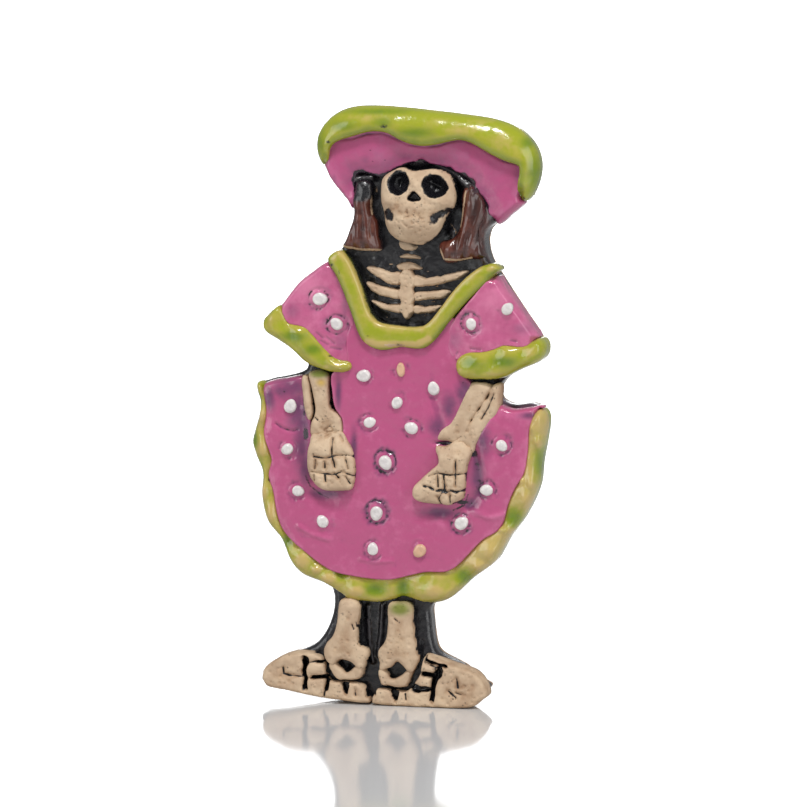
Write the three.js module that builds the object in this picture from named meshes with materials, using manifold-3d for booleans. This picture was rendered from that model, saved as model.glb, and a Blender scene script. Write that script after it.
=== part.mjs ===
// Skeleton lady figurine in glazed clay: a flat-backed standing relief in a broad hat, a spotted
// dress with a frilled hem, wide cuffs, bare arm bones and long bony feet.
// Millimetres, +Z up, the relief faces -Y, the flat back is the plane Y = BACK_Y.
import * as THREE from 'three';
import { mergeVertices } from 'three/addons/utils/BufferGeometryUtils.js';
import Module from 'manifold-3d';

const wasm = await Module();
wasm.setup();

// ---- Driving dimensions ----
const BACK_Y = 4.2; // flat back of the figure
const SPAN_STEPS = 2; // straight steps between two outline points
const SEAT = 0.2; // clearance a low piece keeps round a higher neighbour
const RIM = 0.25; // rounding of a front rim
const SKULL_RIM = 1.0;
const BEVEL_STEPS = 2; // facets across a rounded rim

// Heights of the relief, all measured forward from the flat back
const H = {
  slab: 4.0,
  bone: 5.4,
  skull: 8.4,
  brim: 6.0,
  hatRoll: 6.8,
  lock: 6.6,
  trim: 7.2,
  dress: 6.4,
  sleeve: 7.0,
  cuff: 7.6,
  forearm: 6.6,
  hand: 7.8,
  ruffle: 6.2,
  shin: 6.2,
  ankle: 6.4,
  footPlate: 4.8,
  foot: 6.6,
};

const EYE_DEPTH = 2.2; // sockets sunk below the top of the skull
const NOSE_DEPTH = 1.4;
const DOT_RADIUS = 0.65;
const DOT_HEIGHT = 0.5;
const DOT_SIDES = 12;

const FINISH = {
  clay: { color: 0xc8ac8c, roughness: 0.85 },
  blackGlaze: { color: 0x23232a, roughness: 0.2 },
  pinkGlaze: { color: 0xb85884, roughness: 0.2 },
  limeGlaze: { color: 0xaab03c, roughness: 0.15 },
  brownGlaze: { color: 0x5f322a, roughness: 0.2 },
  whiteGlaze: { color: 0xdcd7d7, roughness: 0.25 },
};

// ---- Outlines, [across, up] in millimetres ----
const SLAB = [
  [-9.3, 67.6], [-10, 69.3], [-9.9, 71.1], [-9, 72.8], [-7.2, 74.1], [-4.9, 74.7], [-0.4, 74.7],
  [4.6, 74.1], [9.6, 73.6], [12.8, 73], [14.9, 72], [16.7, 70], [17.3, 67.6], [16.7, 65.2],
  [14.7, 62.7], [12.8, 61.1], [11.4, 60], [11, 58.4], [11.4, 56.4], [12.2, 55], [13.5, 53],
  [16, 49.3], [17.8, 46.7], [18.3, 45.2], [17.7, 44], [15.5, 42.7], [13.5, 41.3], [12.7, 40.1],
  [12.9, 38.7], [14.8, 38], [16.7, 38.3], [18.2, 37.6], [18.5, 36], [18, 33.5], [17.6, 30.9],
  [17.4, 28.4], [16.2, 25.6], [14.3, 22.8], [13, 20.3], [12.2, 18.6], [9.4, 17], [6.7, 14.3],
  [4, 12.5], [4, 10.9], [4.3, 8.3], [4.8, 6.7], [6.5, 5.7], [8.4, 4.8], [10, 3.3], [11.7, 2.4],
  [8.8, 0.3], [8.2, 0], [-3, 0], [-7.5, 0.3], [-12, 1.1], [-16.5, 1.9], [-18.1, 2.2], [-17.4, 4],
  [-15.6, 5.2], [-13.1, 6.2], [-11, 7.1], [-9.6, 8.8], [-8.6, 11.4], [-8.7, 14.2], [-9.8, 15.3],
  [-12.3, 16.1], [-13.8, 18], [-14.5, 19.3], [-15.1, 20.6], [-16.8, 22.9], [-17.5, 25.4],
  [-17.5, 28.2], [-18.1, 30.5], [-18.9, 32.9], [-17.8, 35.4], [-17.7, 37.1], [-18.1, 39],
  [-17.6, 40.4], [-14.8, 41.1], [-12.2, 41.9], [-11.9, 42.9], [-13.9, 44.6], [-17, 46.7],
  [-17.3, 47.6], [-16.7, 48.8], [-15.2, 50.1], [-12.2, 53.4], [-9.2, 55.6], [-8.3, 56.6],
  [-7.3, 57.5], [-6, 60.6], [-5.8, 62.1], [-7.1, 63.7], [-9, 66.1],
];

const HAT_ROLL = [
  [-9.5, 67.8], [-10.2, 69.1], [-10.2, 71.2], [-9.3, 72.9], [-7.4, 74.4], [-4.7, 75.1], [-0.2, 75],
  [4.8, 74.5], [9.9, 73.9], [13.1, 73.3], [15.5, 72.2], [17.4, 70.1], [18, 67.7], [17.5, 65.3],
  [16.8, 64], [16.1, 63.4], [15.7, 64.4], [16, 66.3], [16, 68], [14.3, 68.6], [12.3, 69.5],
  [9.8, 70.9], [8, 71.3], [5.7, 70.8], [3.4, 70.5], [1, 71.1], [-0.8, 72.1], [-3.1, 72.3],
  [-5.7, 71.6], [-7.8, 70.9], [-8.7, 69.9], [-8.9, 68.6],
];

const HAT_BRIM = [
  [-9.3, 67.6], [-9.8, 69.6], [-8.8, 72.1], [-6.4, 73.3], [-2.1, 74], [4.3, 72.9], [9.3, 72.5],
  [13.7, 70.9], [17.5, 68.5], [17.1, 65.4], [15.9, 63.1], [14.2, 61.7], [12.6, 60.4], [12, 62.1],
  [10.6, 64.4], [9.6, 66], [8, 67.1], [6.1, 67.8], [4.2, 68.3], [2, 68.4], [0.2, 67.7], [-2, 66.5],
  [-3.5, 67], [-5.3, 67], [-5.7, 65.6], [-5.7, 64], [-5.8, 62.3], [-6.4, 63.4], [-7.7, 65],
];

const LOCK_LEFT = [
  [-5.1, 65.7], [-4.3, 65.9], [-3.4, 65.6], [-3.1, 65], [-3.1, 63.8], [-3.3, 62.8], [-3.1, 61.7],
  [-2.5, 60.7], [-2.4, 59.4], [-2.2, 58.2], [-2.2, 57.3], [-3.5, 57.2], [-4.9, 57.3], [-6.2, 57.4],
  [-6.9, 57.7], [-6.5, 58.4], [-5.9, 59.8], [-5.5, 61.1], [-5.4, 62.2], [-5.4, 63.4], [-5.2, 64.7],
];

const LOCK_RIGHT = [
  [8.7, 64.8], [9.5, 65.2], [10.2, 64.6], [10.9, 63.6], [11.2, 62.4], [11.1, 60.9], [10.7, 59.3],
  [10.9, 57.7], [11.3, 56.4], [9.6, 56.4], [7.7, 56], [6.5, 55.8], [5.9, 56.4], [5.6, 57.6],
  [5.8, 58.2], [7.1, 58.5], [7.9, 59.4], [8.3, 60.6], [8.4, 61.8], [8.5, 63.2],
];

const SKULL = [
  [-1.6, 66], [-1.1, 66.6], [-0.2, 67.1], [0.5, 67.4], [1.3, 67.4], [2.3, 67.1], [3.5, 67.2],
  [4.4, 67.3], [5.4, 67.3], [6.4, 67], [7.2, 66.2], [7.5, 65.1], [7.6, 63.9], [7.4, 62.6],
  [6.8, 61.8], [6.3, 60.8], [5.8, 59.8], [5, 58.9], [4.1, 58.3], [3.4, 58], [1.9, 58.1],
  [0.5, 58.5], [-0.5, 59.2], [-1.1, 60.2], [-1.3, 61.2], [-1.4, 62.1], [-1.7, 63.1], [-1.8, 64.5],
];

const EYE_LEFT = [
  [-0.7, 65.3], [-0.4, 66.1], [0.3, 66.9], [1.3, 66.9], [2, 66.3], [2.1, 65.5], [1.6, 64.8],
  [0.8, 64.2], [-0.1, 64.4],
];

const EYE_RIGHT = [
  [3.9, 65.7], [4.2, 66.3], [5, 66.7], [5.9, 66.5], [6.5, 65.9], [6.8, 65.1], [6.4, 64.3],
  [5.6, 63.9], [4.7, 63.9], [4.2, 64.7],
];

const NOSE = [
  [2.8, 64.7], [3.3, 64.2], [3.8, 63.6], [2.9, 63.5], [1.9, 63.6], [2.4, 64.2],
];

const NECK_BONE_UPPER = [
  [0.2, 58.4], [2.6, 58.1], [2.5, 57.3], [1.5, 57.1], [0.4, 57.4],
];

const NECK_BONE_LOWER = [
  [0, 56.3], [0.4, 56.7], [1.2, 56.9], [2.3, 56.7], [3, 56.4], [3, 56], [2, 56], [0.9, 56],
];

const THROAT_KNOT = [
  [-0.3, 55.3], [0.2, 55.6], [1.1, 55.8], [2.1, 55.7], [2.8, 55.3], [3.3, 55], [2.9, 54.7],
  [2, 54.7], [1.1, 54.7], [0.2, 54.6],
];

const STERNUM = [
  [0.6, 54.5], [1.9, 54.5], [2, 53.3], [2.1, 51.7], [2, 50.3], [1.8, 49.2], [1.1, 48.5],
  [0.6, 49.3], [0.5, 50.7], [0.4, 52.3], [0.5, 53.5],
];

const COLLARBONE_LEFT = [
  [-4, 55], [-3.1, 55.1], [-1.9, 54.7], [-0.8, 54.4], [0.4, 54.3], [0.4, 53.1], [-0.7, 52.9],
  [-1.8, 53.4], [-3, 54],
];

const COLLARBONE_RIGHT = [
  [2.1, 54], [3.7, 53.7], [5.2, 54], [6.8, 54.3], [8.1, 54.7], [9, 54.7], [8.4, 54], [7.1, 53.5],
  [5.6, 53.1], [3.9, 52.8], [2.3, 52.9],
];

const RIB_UPPER_LEFT = [
  [-4.1, 53.2], [-2.7, 52.9], [-1.3, 52.5], [0.2, 52.1], [0.2, 51.3], [-1.1, 51.3], [-2.3, 51.6],
  [-3.4, 52.2],
];

const RIB_UPPER_RIGHT = [
  [2.4, 51.8], [4, 52.1], [5.6, 52.3], [6.8, 52.1], [6.3, 51.5], [5.1, 51.2], [3.7, 51.1],
  [2.4, 51.1],
];

const RIB_LOWER_LEFT = [
  [-3.4, 50.9], [-2.1, 50.6], [-0.8, 50.4], [0.4, 50.3], [0.4, 49.5], [-1.1, 49.6], [-2.3, 50],
];

const RIB_LOWER_RIGHT = [
  [2.3, 50.2], [3.7, 50.2], [4.7, 50.3], [5.6, 50.3], [5.1, 49.7], [3.8, 49.4], [2.4, 49.4],
];

const TRIM = [
  [-6.9, 57.2], [-5.6, 55.7], [-4.7, 53.7], [-3.9, 51.5], [-3.2, 49.5], [-2.1, 48.3], [0, 47.9],
  [3.6, 47.8], [5, 49], [7.1, 51.8], [8.9, 53.8], [10.9, 55.3], [12.6, 55.8], [13.4, 55.1],
  [12.9, 54.6], [11.3, 53], [9, 50.8], [7, 48.6], [5.5, 46.6], [3.9, 45.2], [2.3, 45.1],
  [0.8, 45.3], [-0.7, 44.9], [-2.3, 44.9], [-4.2, 46.1], [-5.3, 48.8], [-6.5, 52], [-7.5, 54.2],
  [-8.6, 56], [-8, 56.8],
];

const DRESS = [
  [-5.5, 49], [-4.2, 47.3], [-2.7, 46.3], [0.6, 46.1], [3.5, 46.4], [5.2, 47.4], [6.6, 48.9],
  [8, 47.5], [8.1, 44.7], [8.4, 41.4], [11.3, 39.6], [13.8, 37.8], [15.3, 37.5], [17.1, 37.8],
  [18.5, 38.2], [18.7, 36.5], [18.1, 34], [17.7, 31.5], [16.9, 28.2], [15.1, 25.8], [14.2, 22.9],
  [12.1, 20.7], [9.8, 17.9], [7, 15.7], [3.8, 15.5], [0.6, 15.5], [-2.6, 14.7], [-5.8, 15.4],
  [-9.1, 16.6], [-11.7, 18.1], [-14.2, 20], [-15.9, 22.4], [-16.3, 25.6], [-16.7, 28.1],
  [-16.4, 29.8], [-17.2, 31.9], [-17.7, 33.8], [-17.1, 36], [-17.3, 38.2], [-16.8, 40.3],
  [-14.2, 40.9], [-12.2, 41.2], [-12.1, 39.6], [-11.7, 37.6], [-11.3, 35.7], [-11.2, 33.7],
  [-9.4, 33.2], [-7.5, 33.3], [-6.3, 33.8], [-6.2, 35.1], [-6.4, 36.4], [-7.3, 37.6], [-7.6, 39.7],
  [-7.7, 41.7], [-5.7, 41.9], [-5.8, 44.7],
];

const SLEEVE_LEFT = [
  [-8.7, 55.7], [-7.9, 54.5], [-7.2, 53.1], [-6.5, 51.5], [-6, 49.8], [-5.5, 48.3], [-5.9, 46.8],
  [-6, 44.8], [-5.9, 43.3], [-6.9, 43.3], [-7.8, 43.5], [-8.5, 44.4], [-9.5, 45.5], [-10.4, 46.6],
  [-11.5, 47.6], [-12.6, 47.9], [-13.7, 47.9], [-14.3, 48.9], [-14.8, 49.9], [-14.2, 50.8],
  [-13.6, 51.7], [-12.8, 52.7], [-11.9, 53.6], [-10.4, 54.7],
];

const SLEEVE_RIGHT = [
  [12.8, 54.3], [13.5, 53.1], [14.4, 51.9], [15.4, 50.5], [16.4, 49.1], [17.3, 47.8], [18, 46.8],
  [17.5, 46.1], [16.6, 45.9], [15.4, 45.9], [13.8, 46], [12.6, 45.4], [11, 45], [9.2, 44.6],
  [8.2, 44], [7.3, 44.7], [7, 46.4], [7.4, 48], [8.6, 49.6], [9.9, 51], [11.1, 52.4], [12.1, 53.6],
];

const CUFF_LEFT = [
  [-14.8, 50.2], [-14.1, 49.2], [-13.5, 48.1], [-12.5, 47.9], [-11.4, 47.6], [-10.3, 46.6],
  [-9.4, 45.5], [-8.4, 44.4], [-7.6, 43.7], [-6.7, 43.4], [-5.7, 43.2], [-5.5, 42.6], [-6.1, 42.1],
  [-7.1, 42], [-8.4, 42.1], [-9.7, 42.5], [-10.9, 42.9], [-11.8, 43.4], [-12.7, 44.3], [-14, 45.3],
  [-15.3, 46.1], [-16.5, 46.8], [-16.9, 47.5], [-16.9, 48.4], [-16.3, 49.1], [-15.6, 49.8],
];

const CUFF_RIGHT = [
  [18.3, 46.6], [18.9, 46], [19, 45.2], [18.8, 44.4], [18, 43.6], [16.6, 43], [15.3, 42.4],
  [14.2, 41.8], [12.8, 41.5], [11, 41.5], [9.2, 41.5], [8.2, 42], [7.9, 42.8], [8, 43.7],
  [8.7, 44.4], [9.8, 44.8], [11.2, 44.9], [12.7, 45.3], [13.8, 45.8], [15.2, 45.6], [16.6, 45.7],
  [17.6, 46.3],
];

const RADIUS_LEFT = [
  [-11, 41.7], [-10.1, 41.6], [-8.8, 41.6], [-8.7, 39.8], [-8.6, 38.1], [-8.3, 37.2], [-7.4, 36.7],
  [-6.9, 35.9], [-7, 34.8], [-7.3, 34.4], [-8.1, 34.3], [-9.3, 34.2], [-10.5, 34.1], [-10.8, 34.8],
  [-10.7, 35.6], [-10.3, 36.4], [-10.2, 37.4], [-10.5, 39], [-10.8, 40.4],
];

const ULNA_LEFT = [
  [-12, 41.4], [-11.2, 41.4], [-10.9, 39.5], [-10.7, 37.8], [-10.6, 36.6], [-11.1, 35.6],
  [-11.6, 36.8], [-11.9, 39],
];

const RADIUS_RIGHT = [
  [9.6, 40.8], [10.8, 40.9], [11.7, 40.7], [12.1, 40.2], [11.5, 39.1], [10.6, 37.8], [9.6, 36.3],
  [9.1, 35.1], [8.4, 34.2], [7.2, 33.8], [6.1, 33.7], [5.4, 33.7], [5.4, 34.2], [5.9, 34.9],
  [7, 35.8], [7.7, 36.9], [8.3, 38.2], [8.9, 39.4],
];

const ULNA_RIGHT = [
  [12.2, 40.3], [12.8, 40.8], [13.3, 40.7], [13.2, 39], [13, 37.5], [12.1, 36.1], [11.2, 34.8],
  [10.3, 33.4], [9.8, 32.4], [9.3, 32.3], [8.3, 32.5], [7.5, 33], [7.4, 33.6], [8.5, 34],
  [9.2, 34.9], [9.7, 36.2], [10.7, 37.7], [11.6, 39],
];

const HAND_LEFT = [
  [-10.4, 33.8], [-9.6, 34], [-8.1, 34.1], [-7.1, 34.2], [-6.5, 34.1], [-6, 33.4], [-5.4, 32.4],
  [-5.1, 31.2], [-4.9, 29.7], [-5.1, 28.3], [-5.5, 27.3], [-6.1, 27.2], [-7.8, 27.1], [-9.1, 27.2],
  [-10, 27.8], [-10.6, 28.6], [-11, 29.7], [-11.1, 30.9], [-11, 32.2], [-10.7, 33.2],
];

const HAND_RIGHT = [
  [5.3, 33.1], [6.2, 33], [7, 33.2], [7.8, 33.4], [8.8, 33.2], [9.5, 32.7], [9.7, 31.9], [9.4, 31],
  [9.2, 29.8], [9.1, 28.6], [9, 27.3], [8.8, 26.5], [8, 26], [7, 25.7], [6, 25.8], [4.2, 25.9],
  [2.9, 26.2], [2.4, 26.9], [2.6, 27.9], [3.3, 28.6], [4, 29.3], [4.9, 30.1], [5.7, 30.8],
  [5.7, 31.6], [5.3, 32.4],
];

const RUFFLE = [
  [-18.2, 40.4], [-18.2, 39.2], [-17.7, 36.8], [-19, 32.9], [-17.6, 29.3], [-17.6, 25.5],
  [-16.7, 22.5], [-15.1, 20.6], [-14.1, 18.2], [-12.4, 16.1], [-9.7, 15.2], [-6.7, 13.9],
  [-3.1, 13], [-0.9, 13.4], [0.7, 14.2], [2.6, 13.5], [4.7, 13], [6.8, 13.7], [9.4, 16.2],
  [12.5, 18.5], [14, 21.3], [15.8, 23.7], [17.2, 26.3], [18, 28.6], [18.2, 31.1], [19, 35.5],
  [18.9, 37.2], [18.1, 37.8], [17.4, 36.9], [16.7, 35], [16.6, 33.1], [16.1, 29.8], [14.9, 27.9],
  [13.9, 25.4], [13.2, 22.9], [11.1, 21.7], [9, 19.5], [6.8, 17.5], [4.1, 17.4], [1.6, 16.8],
  [-0.3, 16.3], [-2, 16.2], [-5.8, 16.6], [-8.4, 17.2], [-11.5, 19.4], [-14.2, 21.7],
  [-15.1, 24.1], [-15.5, 26.8], [-16.2, 28.8], [-15.6, 30.8], [-16.8, 33.9], [-16.5, 37],
  [-16.9, 39.7], [-17.4, 40.5],
];

const SHIN_LEFT = [
  [-7, 12.9], [-6.2, 12.8], [-4.9, 12.7], [-4.9, 10.5], [-5, 8.6], [-4.8, 7.5], [-3.7, 7],
  [-3.6, 6.3], [-4, 5.5], [-4.2, 5], [-5, 5.1], [-5.9, 5.6], [-7.1, 5.8], [-8, 5.5], [-8.9, 5.7],
  [-9.1, 6.8], [-8.7, 7.7], [-8.1, 8.3], [-7.6, 9.4], [-7.3, 10.9],
];

const SHIN_RIGHT = [
  [-0.7, 12.8], [0.3, 12.5], [1.8, 12.5], [2, 11.4], [2.2, 9.5], [2.4, 8], [2.6, 6.7], [2.9, 6.1],
  [2.5, 5.3], [2.1, 5], [1.5, 4.9], [1, 5.3], [0.3, 5.8], [-0.3, 5.4], [-0.7, 5], [-1.5, 4.9],
  [-1.9, 5.5], [-2.1, 6.4], [-2, 7], [-1.4, 7.7], [-1, 8.7], [-0.8, 10.9],
];

const ANKLE_LEFT = [
  [-8.5, 4.5], [-8.3, 5.1], [-7.6, 5], [-6.9, 4.5], [-6.4, 4.1], [-5.7, 4.4], [-5.1, 4.7],
  [-4.4, 4.5], [-4.2, 3.8], [-4.5, 3.3], [-5.2, 3], [-6.5, 2.9], [-7.5, 3], [-8.2, 3.6],
];

const ANKLE_RIGHT = [
  [-2.3, 4], [-2.1, 4.3], [-1.2, 4.3], [-0.7, 3.7], [-0.2, 3.4], [0.5, 3.8], [1.2, 4.3],
  [1.8, 4.2], [1.9, 3.4], [1.6, 2.7], [1.4, 2.4], [0.4, 2.3], [-0.9, 2.4], [-1.8, 2.5],
  [-2.2, 3.2],
];

const FOOT_LEFT = [
  [-17.3, 3.2], [-17, 4.2], [-15.5, 5.4], [-13.1, 6.3], [-9.7, 6], [-9.2, 4.9], [-9, 3.1],
  [-7.6, 2.7], [-4.4, 2.6], [-3.7, 1.3], [-3.2, 0.3], [-6.4, 0.4], [-9.7, 0.7], [-12.3, 1.1],
  [-14.3, 1.5], [-16.5, 1.8], [-17.1, 2.3],
];

const FOOT_LEFT_GAPS = [
  [
    [-12, 5.9], [-11.4, 5.8], [-11.3, 5], [-11.6, 4.2], [-11.4, 3.2], [-11.4, 1.6], [-11.8, 1.7],
    [-11.9, 3], [-12.1, 4], [-11.9, 5],
  ],
  [
    [-8.9, 6], [-8.2, 5.8], [-8, 4.6], [-7.9, 3.6], [-8.5, 3], [-8.7, 1.6], [-9.1, 1.7],
    [-9.1, 3.1], [-10.8, 3], [-10.8, 3.5], [-9.1, 3.7], [-8.9, 4.6], [-9.1, 5], [-10.2, 5.1],
    [-10.1, 5.4], [-8.9, 5.5],
  ],
  [
    [-7.2, 2.9], [-6.1, 2.9], [-6, 1.9], [-6.2, 1.1], [-6.5, 1.2], [-6.9, 2],
  ],
];

const FOOT_RIGHT = [
  [-2.7, 1.6], [-2.4, 2], [-0.6, 2], [1.5, 1.8], [2.3, 2.9], [3, 3.8], [3.4, 5.2], [3.7, 6.5],
  [4.3, 6.5], [7.1, 5.5], [9.9, 4.7], [11.1, 3.6], [11.8, 1.7], [11, 1.1], [10.1, 0.3],
  [5.8, -0.2], [-1.3, -0.4], [-3, -0.1],
];

const FOOT_RIGHT_GAPS = [
  [
    [-1.3, 2.3], [0, 2.5], [0.4, 2.2], [0.4, 1], [0, 0.4], [-0.3, 1.5], [-0.9, 1.9],
  ],
  [
    [1.7, 2.5], [2.3, 2.9], [3.2, 2.7], [4.6, 2.4], [4.6, 2.1], [3.6, 2], [3.1, 1.6], [2.3, 1.9],
  ],
  [
    [5.4, 5.4], [5.9, 5.3], [6, 4], [5.4, 3.5], [5.1, 2.3], [4.9, 0.4], [4.6, 0.6], [4.6, 2.3],
    [4.7, 3.7], [5.1, 4.4],
  ],
  [
    [3.2, 4.4], [4.1, 4.5], [5, 4.1], [4.9, 3.8], [4, 3.8], [3.3, 4],
  ],
  [
    [3.6, 6.7], [4, 6.7], [4.1, 6.1], [5.1, 5.8], [6.6, 5.4], [6.6, 5.1], [5.5, 5.3], [4.5, 5.5],
    [3.7, 5.8],
  ],
];

const SLEEVE_DOTS = [
  [-9.6, 51.1], [-7.3, 47.9], [9.8, 48.4], [14.3, 50.1],
];

const DRESS_DOTS = [
  [-3.8, 41.6], [0.8, 42.4], [5, 40], [0.4, 38.4], [-3.3, 35.7], [2.3, 35.1], [-1.2, 30.9],
  [-13.5, 37.4], [-13.7, 32.2], [-12.6, 26.9], [-9.2, 23], [-2.3, 24.5], [8.4, 23.3], [11.8, 27.6],
  [13.5, 33.3], [-2.8, 19.7], [3.3, 19.9],
];

// ---- Solids, drawn flat: x across, y up, z forward from the back ----
const CUTTER_HEIGHT = 40; // taller than any piece
const CUTTER_WIDTH = 200; // wider than the whole figure
const SAME_POINT = 1e-5; // corners closer than this are one

function smooth(points) {
  const knots = points.map(([x, y]) => new THREE.Vector3(x, y, 0));
  const curve = new THREE.CatmullRomCurve3(knots, true, 'centripetal');
  const samples = curve.getPoints(points.length * SPAN_STEPS).slice(0, -1);
  return samples.map((p) => new THREE.Vector2(p.x, p.y));
}

function circle(x, y, radius, sides) {
  const corners = Array.from({ length: sides }, (_, i) => (2 * Math.PI * i) / sides);
  return corners.map((a) => new THREE.Vector2(x + radius * Math.cos(a), y + radius * Math.sin(a)));
}

// The same outline pushed outwards by an even margin
function grow(outline, margin) {
  const side = Math.sign(THREE.ShapeUtils.area(outline));
  return outline.map((point, i) => {
    const before = outline.at(i - 1);
    const after = outline[(i + 1) % outline.length];
    const along = after.clone().sub(before).normalize();
    return new THREE.Vector2(point.x + side * margin * along.y, point.y - side * margin * along.x);
  });
}

function toSolid(geometry) {
  geometry.deleteAttribute('normal');
  geometry.deleteAttribute('uv');
  const merged = mergeVertices(geometry, SAME_POINT);
  return new wasm.Manifold(new wasm.Mesh({
    numProp: 3,
    vertProperties: new Float32Array(merged.attributes.position.array),
    triVerts: new Uint32Array(merged.index.array),
  }));
}

function prism(outline, from, to) {
  const shape = new THREE.Shape(outline);
  const geometry = new THREE.ExtrudeGeometry(shape, { depth: to - from, bevelEnabled: false });
  geometry.translate(0, 0, from);
  return toSolid(geometry);
}

// A flat-backed pad with a rounded front rim
function pad(outline, from, to, rim) {
  const shape = new THREE.Shape(outline);
  const geometry = new THREE.ExtrudeGeometry(shape, {
    depth: to - from - rim,
    bevelEnabled: true,
    bevelThickness: rim,
    bevelSize: rim,
    bevelOffset: -rim,
    bevelSegments: BEVEL_STEPS,
  });
  geometry.translate(0, 0, from);
  const behind = new THREE.BoxGeometry(CUTTER_WIDTH, CUTTER_WIDTH, CUTTER_HEIGHT);
  behind.translate(0, 0, from - CUTTER_HEIGHT / 2);
  return toSolid(geometry).subtract(toSolid(behind));
}

function clearOf(solid, neighbours) {
  let result = solid;
  for (const points of neighbours) {
    result = result.subtract(prism(grow(smooth(points), SEAT), 0, CUTTER_HEIGHT));
  }
  return result;
}

// Everything that stands on the ground is trimmed level with it
function aboveGround(solid) {
  const ground = new THREE.BoxGeometry(CUTTER_WIDTH, CUTTER_HEIGHT, CUTTER_WIDTH);
  ground.translate(0, -CUTTER_HEIGHT / 2, 0);
  return solid.subtract(toSolid(ground));
}

function relief(points, top, rim = 0) {
  const outline = smooth(points);
  return rim > 0 ? pad(outline, H.slab, top, rim) : prism(outline, H.slab, top);
}

function skull() {
  let head = relief(SKULL, H.skull, SKULL_RIM);
  head = head.subtract(prism(smooth(EYE_LEFT), H.skull - EYE_DEPTH, CUTTER_HEIGHT));
  head = head.subtract(prism(smooth(EYE_RIGHT), H.skull - EYE_DEPTH, CUTTER_HEIGHT));
  return head.subtract(prism(smooth(NOSE), H.skull - NOSE_DEPTH, CUTTER_HEIGHT));
}

// Toes, foot bones and heel are parted by gaps cut down to a thin plate
function foot(points, gaps, neighbours) {
  let result = prism(smooth(points), H.slab, H.foot);
  for (const gap of gaps) {
    result = result.subtract(prism(smooth(gap), H.footPlate, CUTTER_HEIGHT));
  }
  return aboveGround(clearOf(result, neighbours));
}

function hand(points) {
  return pad(smooth(points), H.dress, H.hand, RIM);
}

function dress() {
  const covered = [TRIM, SLEEVE_LEFT, SLEEVE_RIGHT, CUFF_LEFT, CUFF_RIGHT, RUFFLE];
  const sunk = [RADIUS_LEFT, ULNA_LEFT, RADIUS_RIGHT, ULNA_RIGHT];
  return clearOf(relief(DRESS, H.dress, RIM), [...covered, ...sunk]);
}

function dot([x, y], seat) {
  return pad(circle(x, y, DOT_RADIUS, DOT_SIDES), seat, seat + DOT_HEIGHT, RIM);
}

// ---- Assembly ----
const figure = new THREE.Group();
figure.name = 'catrina_figure';

function place(name, solid, finish) {
  const mesh = solid.getMesh();
  const geometry = new THREE.BufferGeometry();
  geometry.setAttribute('position', new THREE.BufferAttribute(mesh.vertProperties, 3));
  geometry.setIndex(new THREE.BufferAttribute(mesh.triVerts, 1));
  geometry.rotateX(Math.PI / 2);
  geometry.translate(0, BACK_Y, 0);
  geometry.computeVertexNormals();
  const material = new THREE.MeshStandardMaterial({ ...FINISH[finish], metalness: 0 });
  const node = new THREE.Mesh(geometry, material);
  node.name = name;
  figure.add(node);
}

function placeHead() {
  place('hat_edge_roll', relief(HAT_ROLL, H.hatRoll, RIM), 'limeGlaze');
  place('hat_brim', clearOf(relief(HAT_BRIM, H.brim), [HAT_ROLL, SKULL]), 'pinkGlaze');
  place('skull', skull(), 'clay');
  place('hair_lock_left', clearOf(relief(LOCK_LEFT, H.lock, RIM), [HAT_BRIM, TRIM]), 'brownGlaze');
  place('hair_lock_right', clearOf(relief(LOCK_RIGHT, H.lock, RIM), [HAT_BRIM, TRIM]), 'brownGlaze');
}

function placeChest() {
  const bone = (points, neighbours) => clearOf(relief(points, H.bone), neighbours);
  place('neck_bone_upper', bone(NECK_BONE_UPPER, [SKULL]), 'clay');
  place('neck_bone_lower', bone(NECK_BONE_LOWER, []), 'clay');
  place('throat_knot', bone(THROAT_KNOT, [STERNUM]), 'clay');
  place('sternum', bone(STERNUM, []), 'clay');
  place('collarbone_left', bone(COLLARBONE_LEFT, [STERNUM, TRIM]), 'clay');
  place('collarbone_right', bone(COLLARBONE_RIGHT, [STERNUM, TRIM]), 'clay');
  place('rib_upper_left', bone(RIB_UPPER_LEFT, [STERNUM, TRIM]), 'clay');
  place('rib_upper_right', bone(RIB_UPPER_RIGHT, [STERNUM, TRIM]), 'clay');
  place('rib_lower_left', bone(RIB_LOWER_LEFT, [STERNUM, TRIM]), 'clay');
  place('rib_lower_right', bone(RIB_LOWER_RIGHT, [STERNUM, TRIM]), 'clay');
}

function placeDress() {
  const sleeve = (points, cuff) => clearOf(relief(points, H.sleeve, RIM), [TRIM, cuff]);
  place('neckline_trim', relief(TRIM, H.trim, RIM), 'limeGlaze');
  place('dress', dress(), 'pinkGlaze');
  place('sleeve_left', sleeve(SLEEVE_LEFT, CUFF_LEFT), 'pinkGlaze');
  place('sleeve_right', sleeve(SLEEVE_RIGHT, CUFF_RIGHT), 'pinkGlaze');
  place('cuff_left', relief(CUFF_LEFT, H.cuff, RIM), 'limeGlaze');
  place('cuff_right', relief(CUFF_RIGHT, H.cuff, RIM), 'limeGlaze');
  place('skirt_ruffle', relief(RUFFLE, H.ruffle, RIM), 'limeGlaze');
  SLEEVE_DOTS.forEach((at, i) => place(`sleeve_dot_${i + 1}`, dot(at, H.sleeve), 'whiteGlaze'));
  DRESS_DOTS.forEach((at, i) => place(`dress_dot_${i + 1}`, dot(at, H.dress), 'whiteGlaze'));
}

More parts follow.
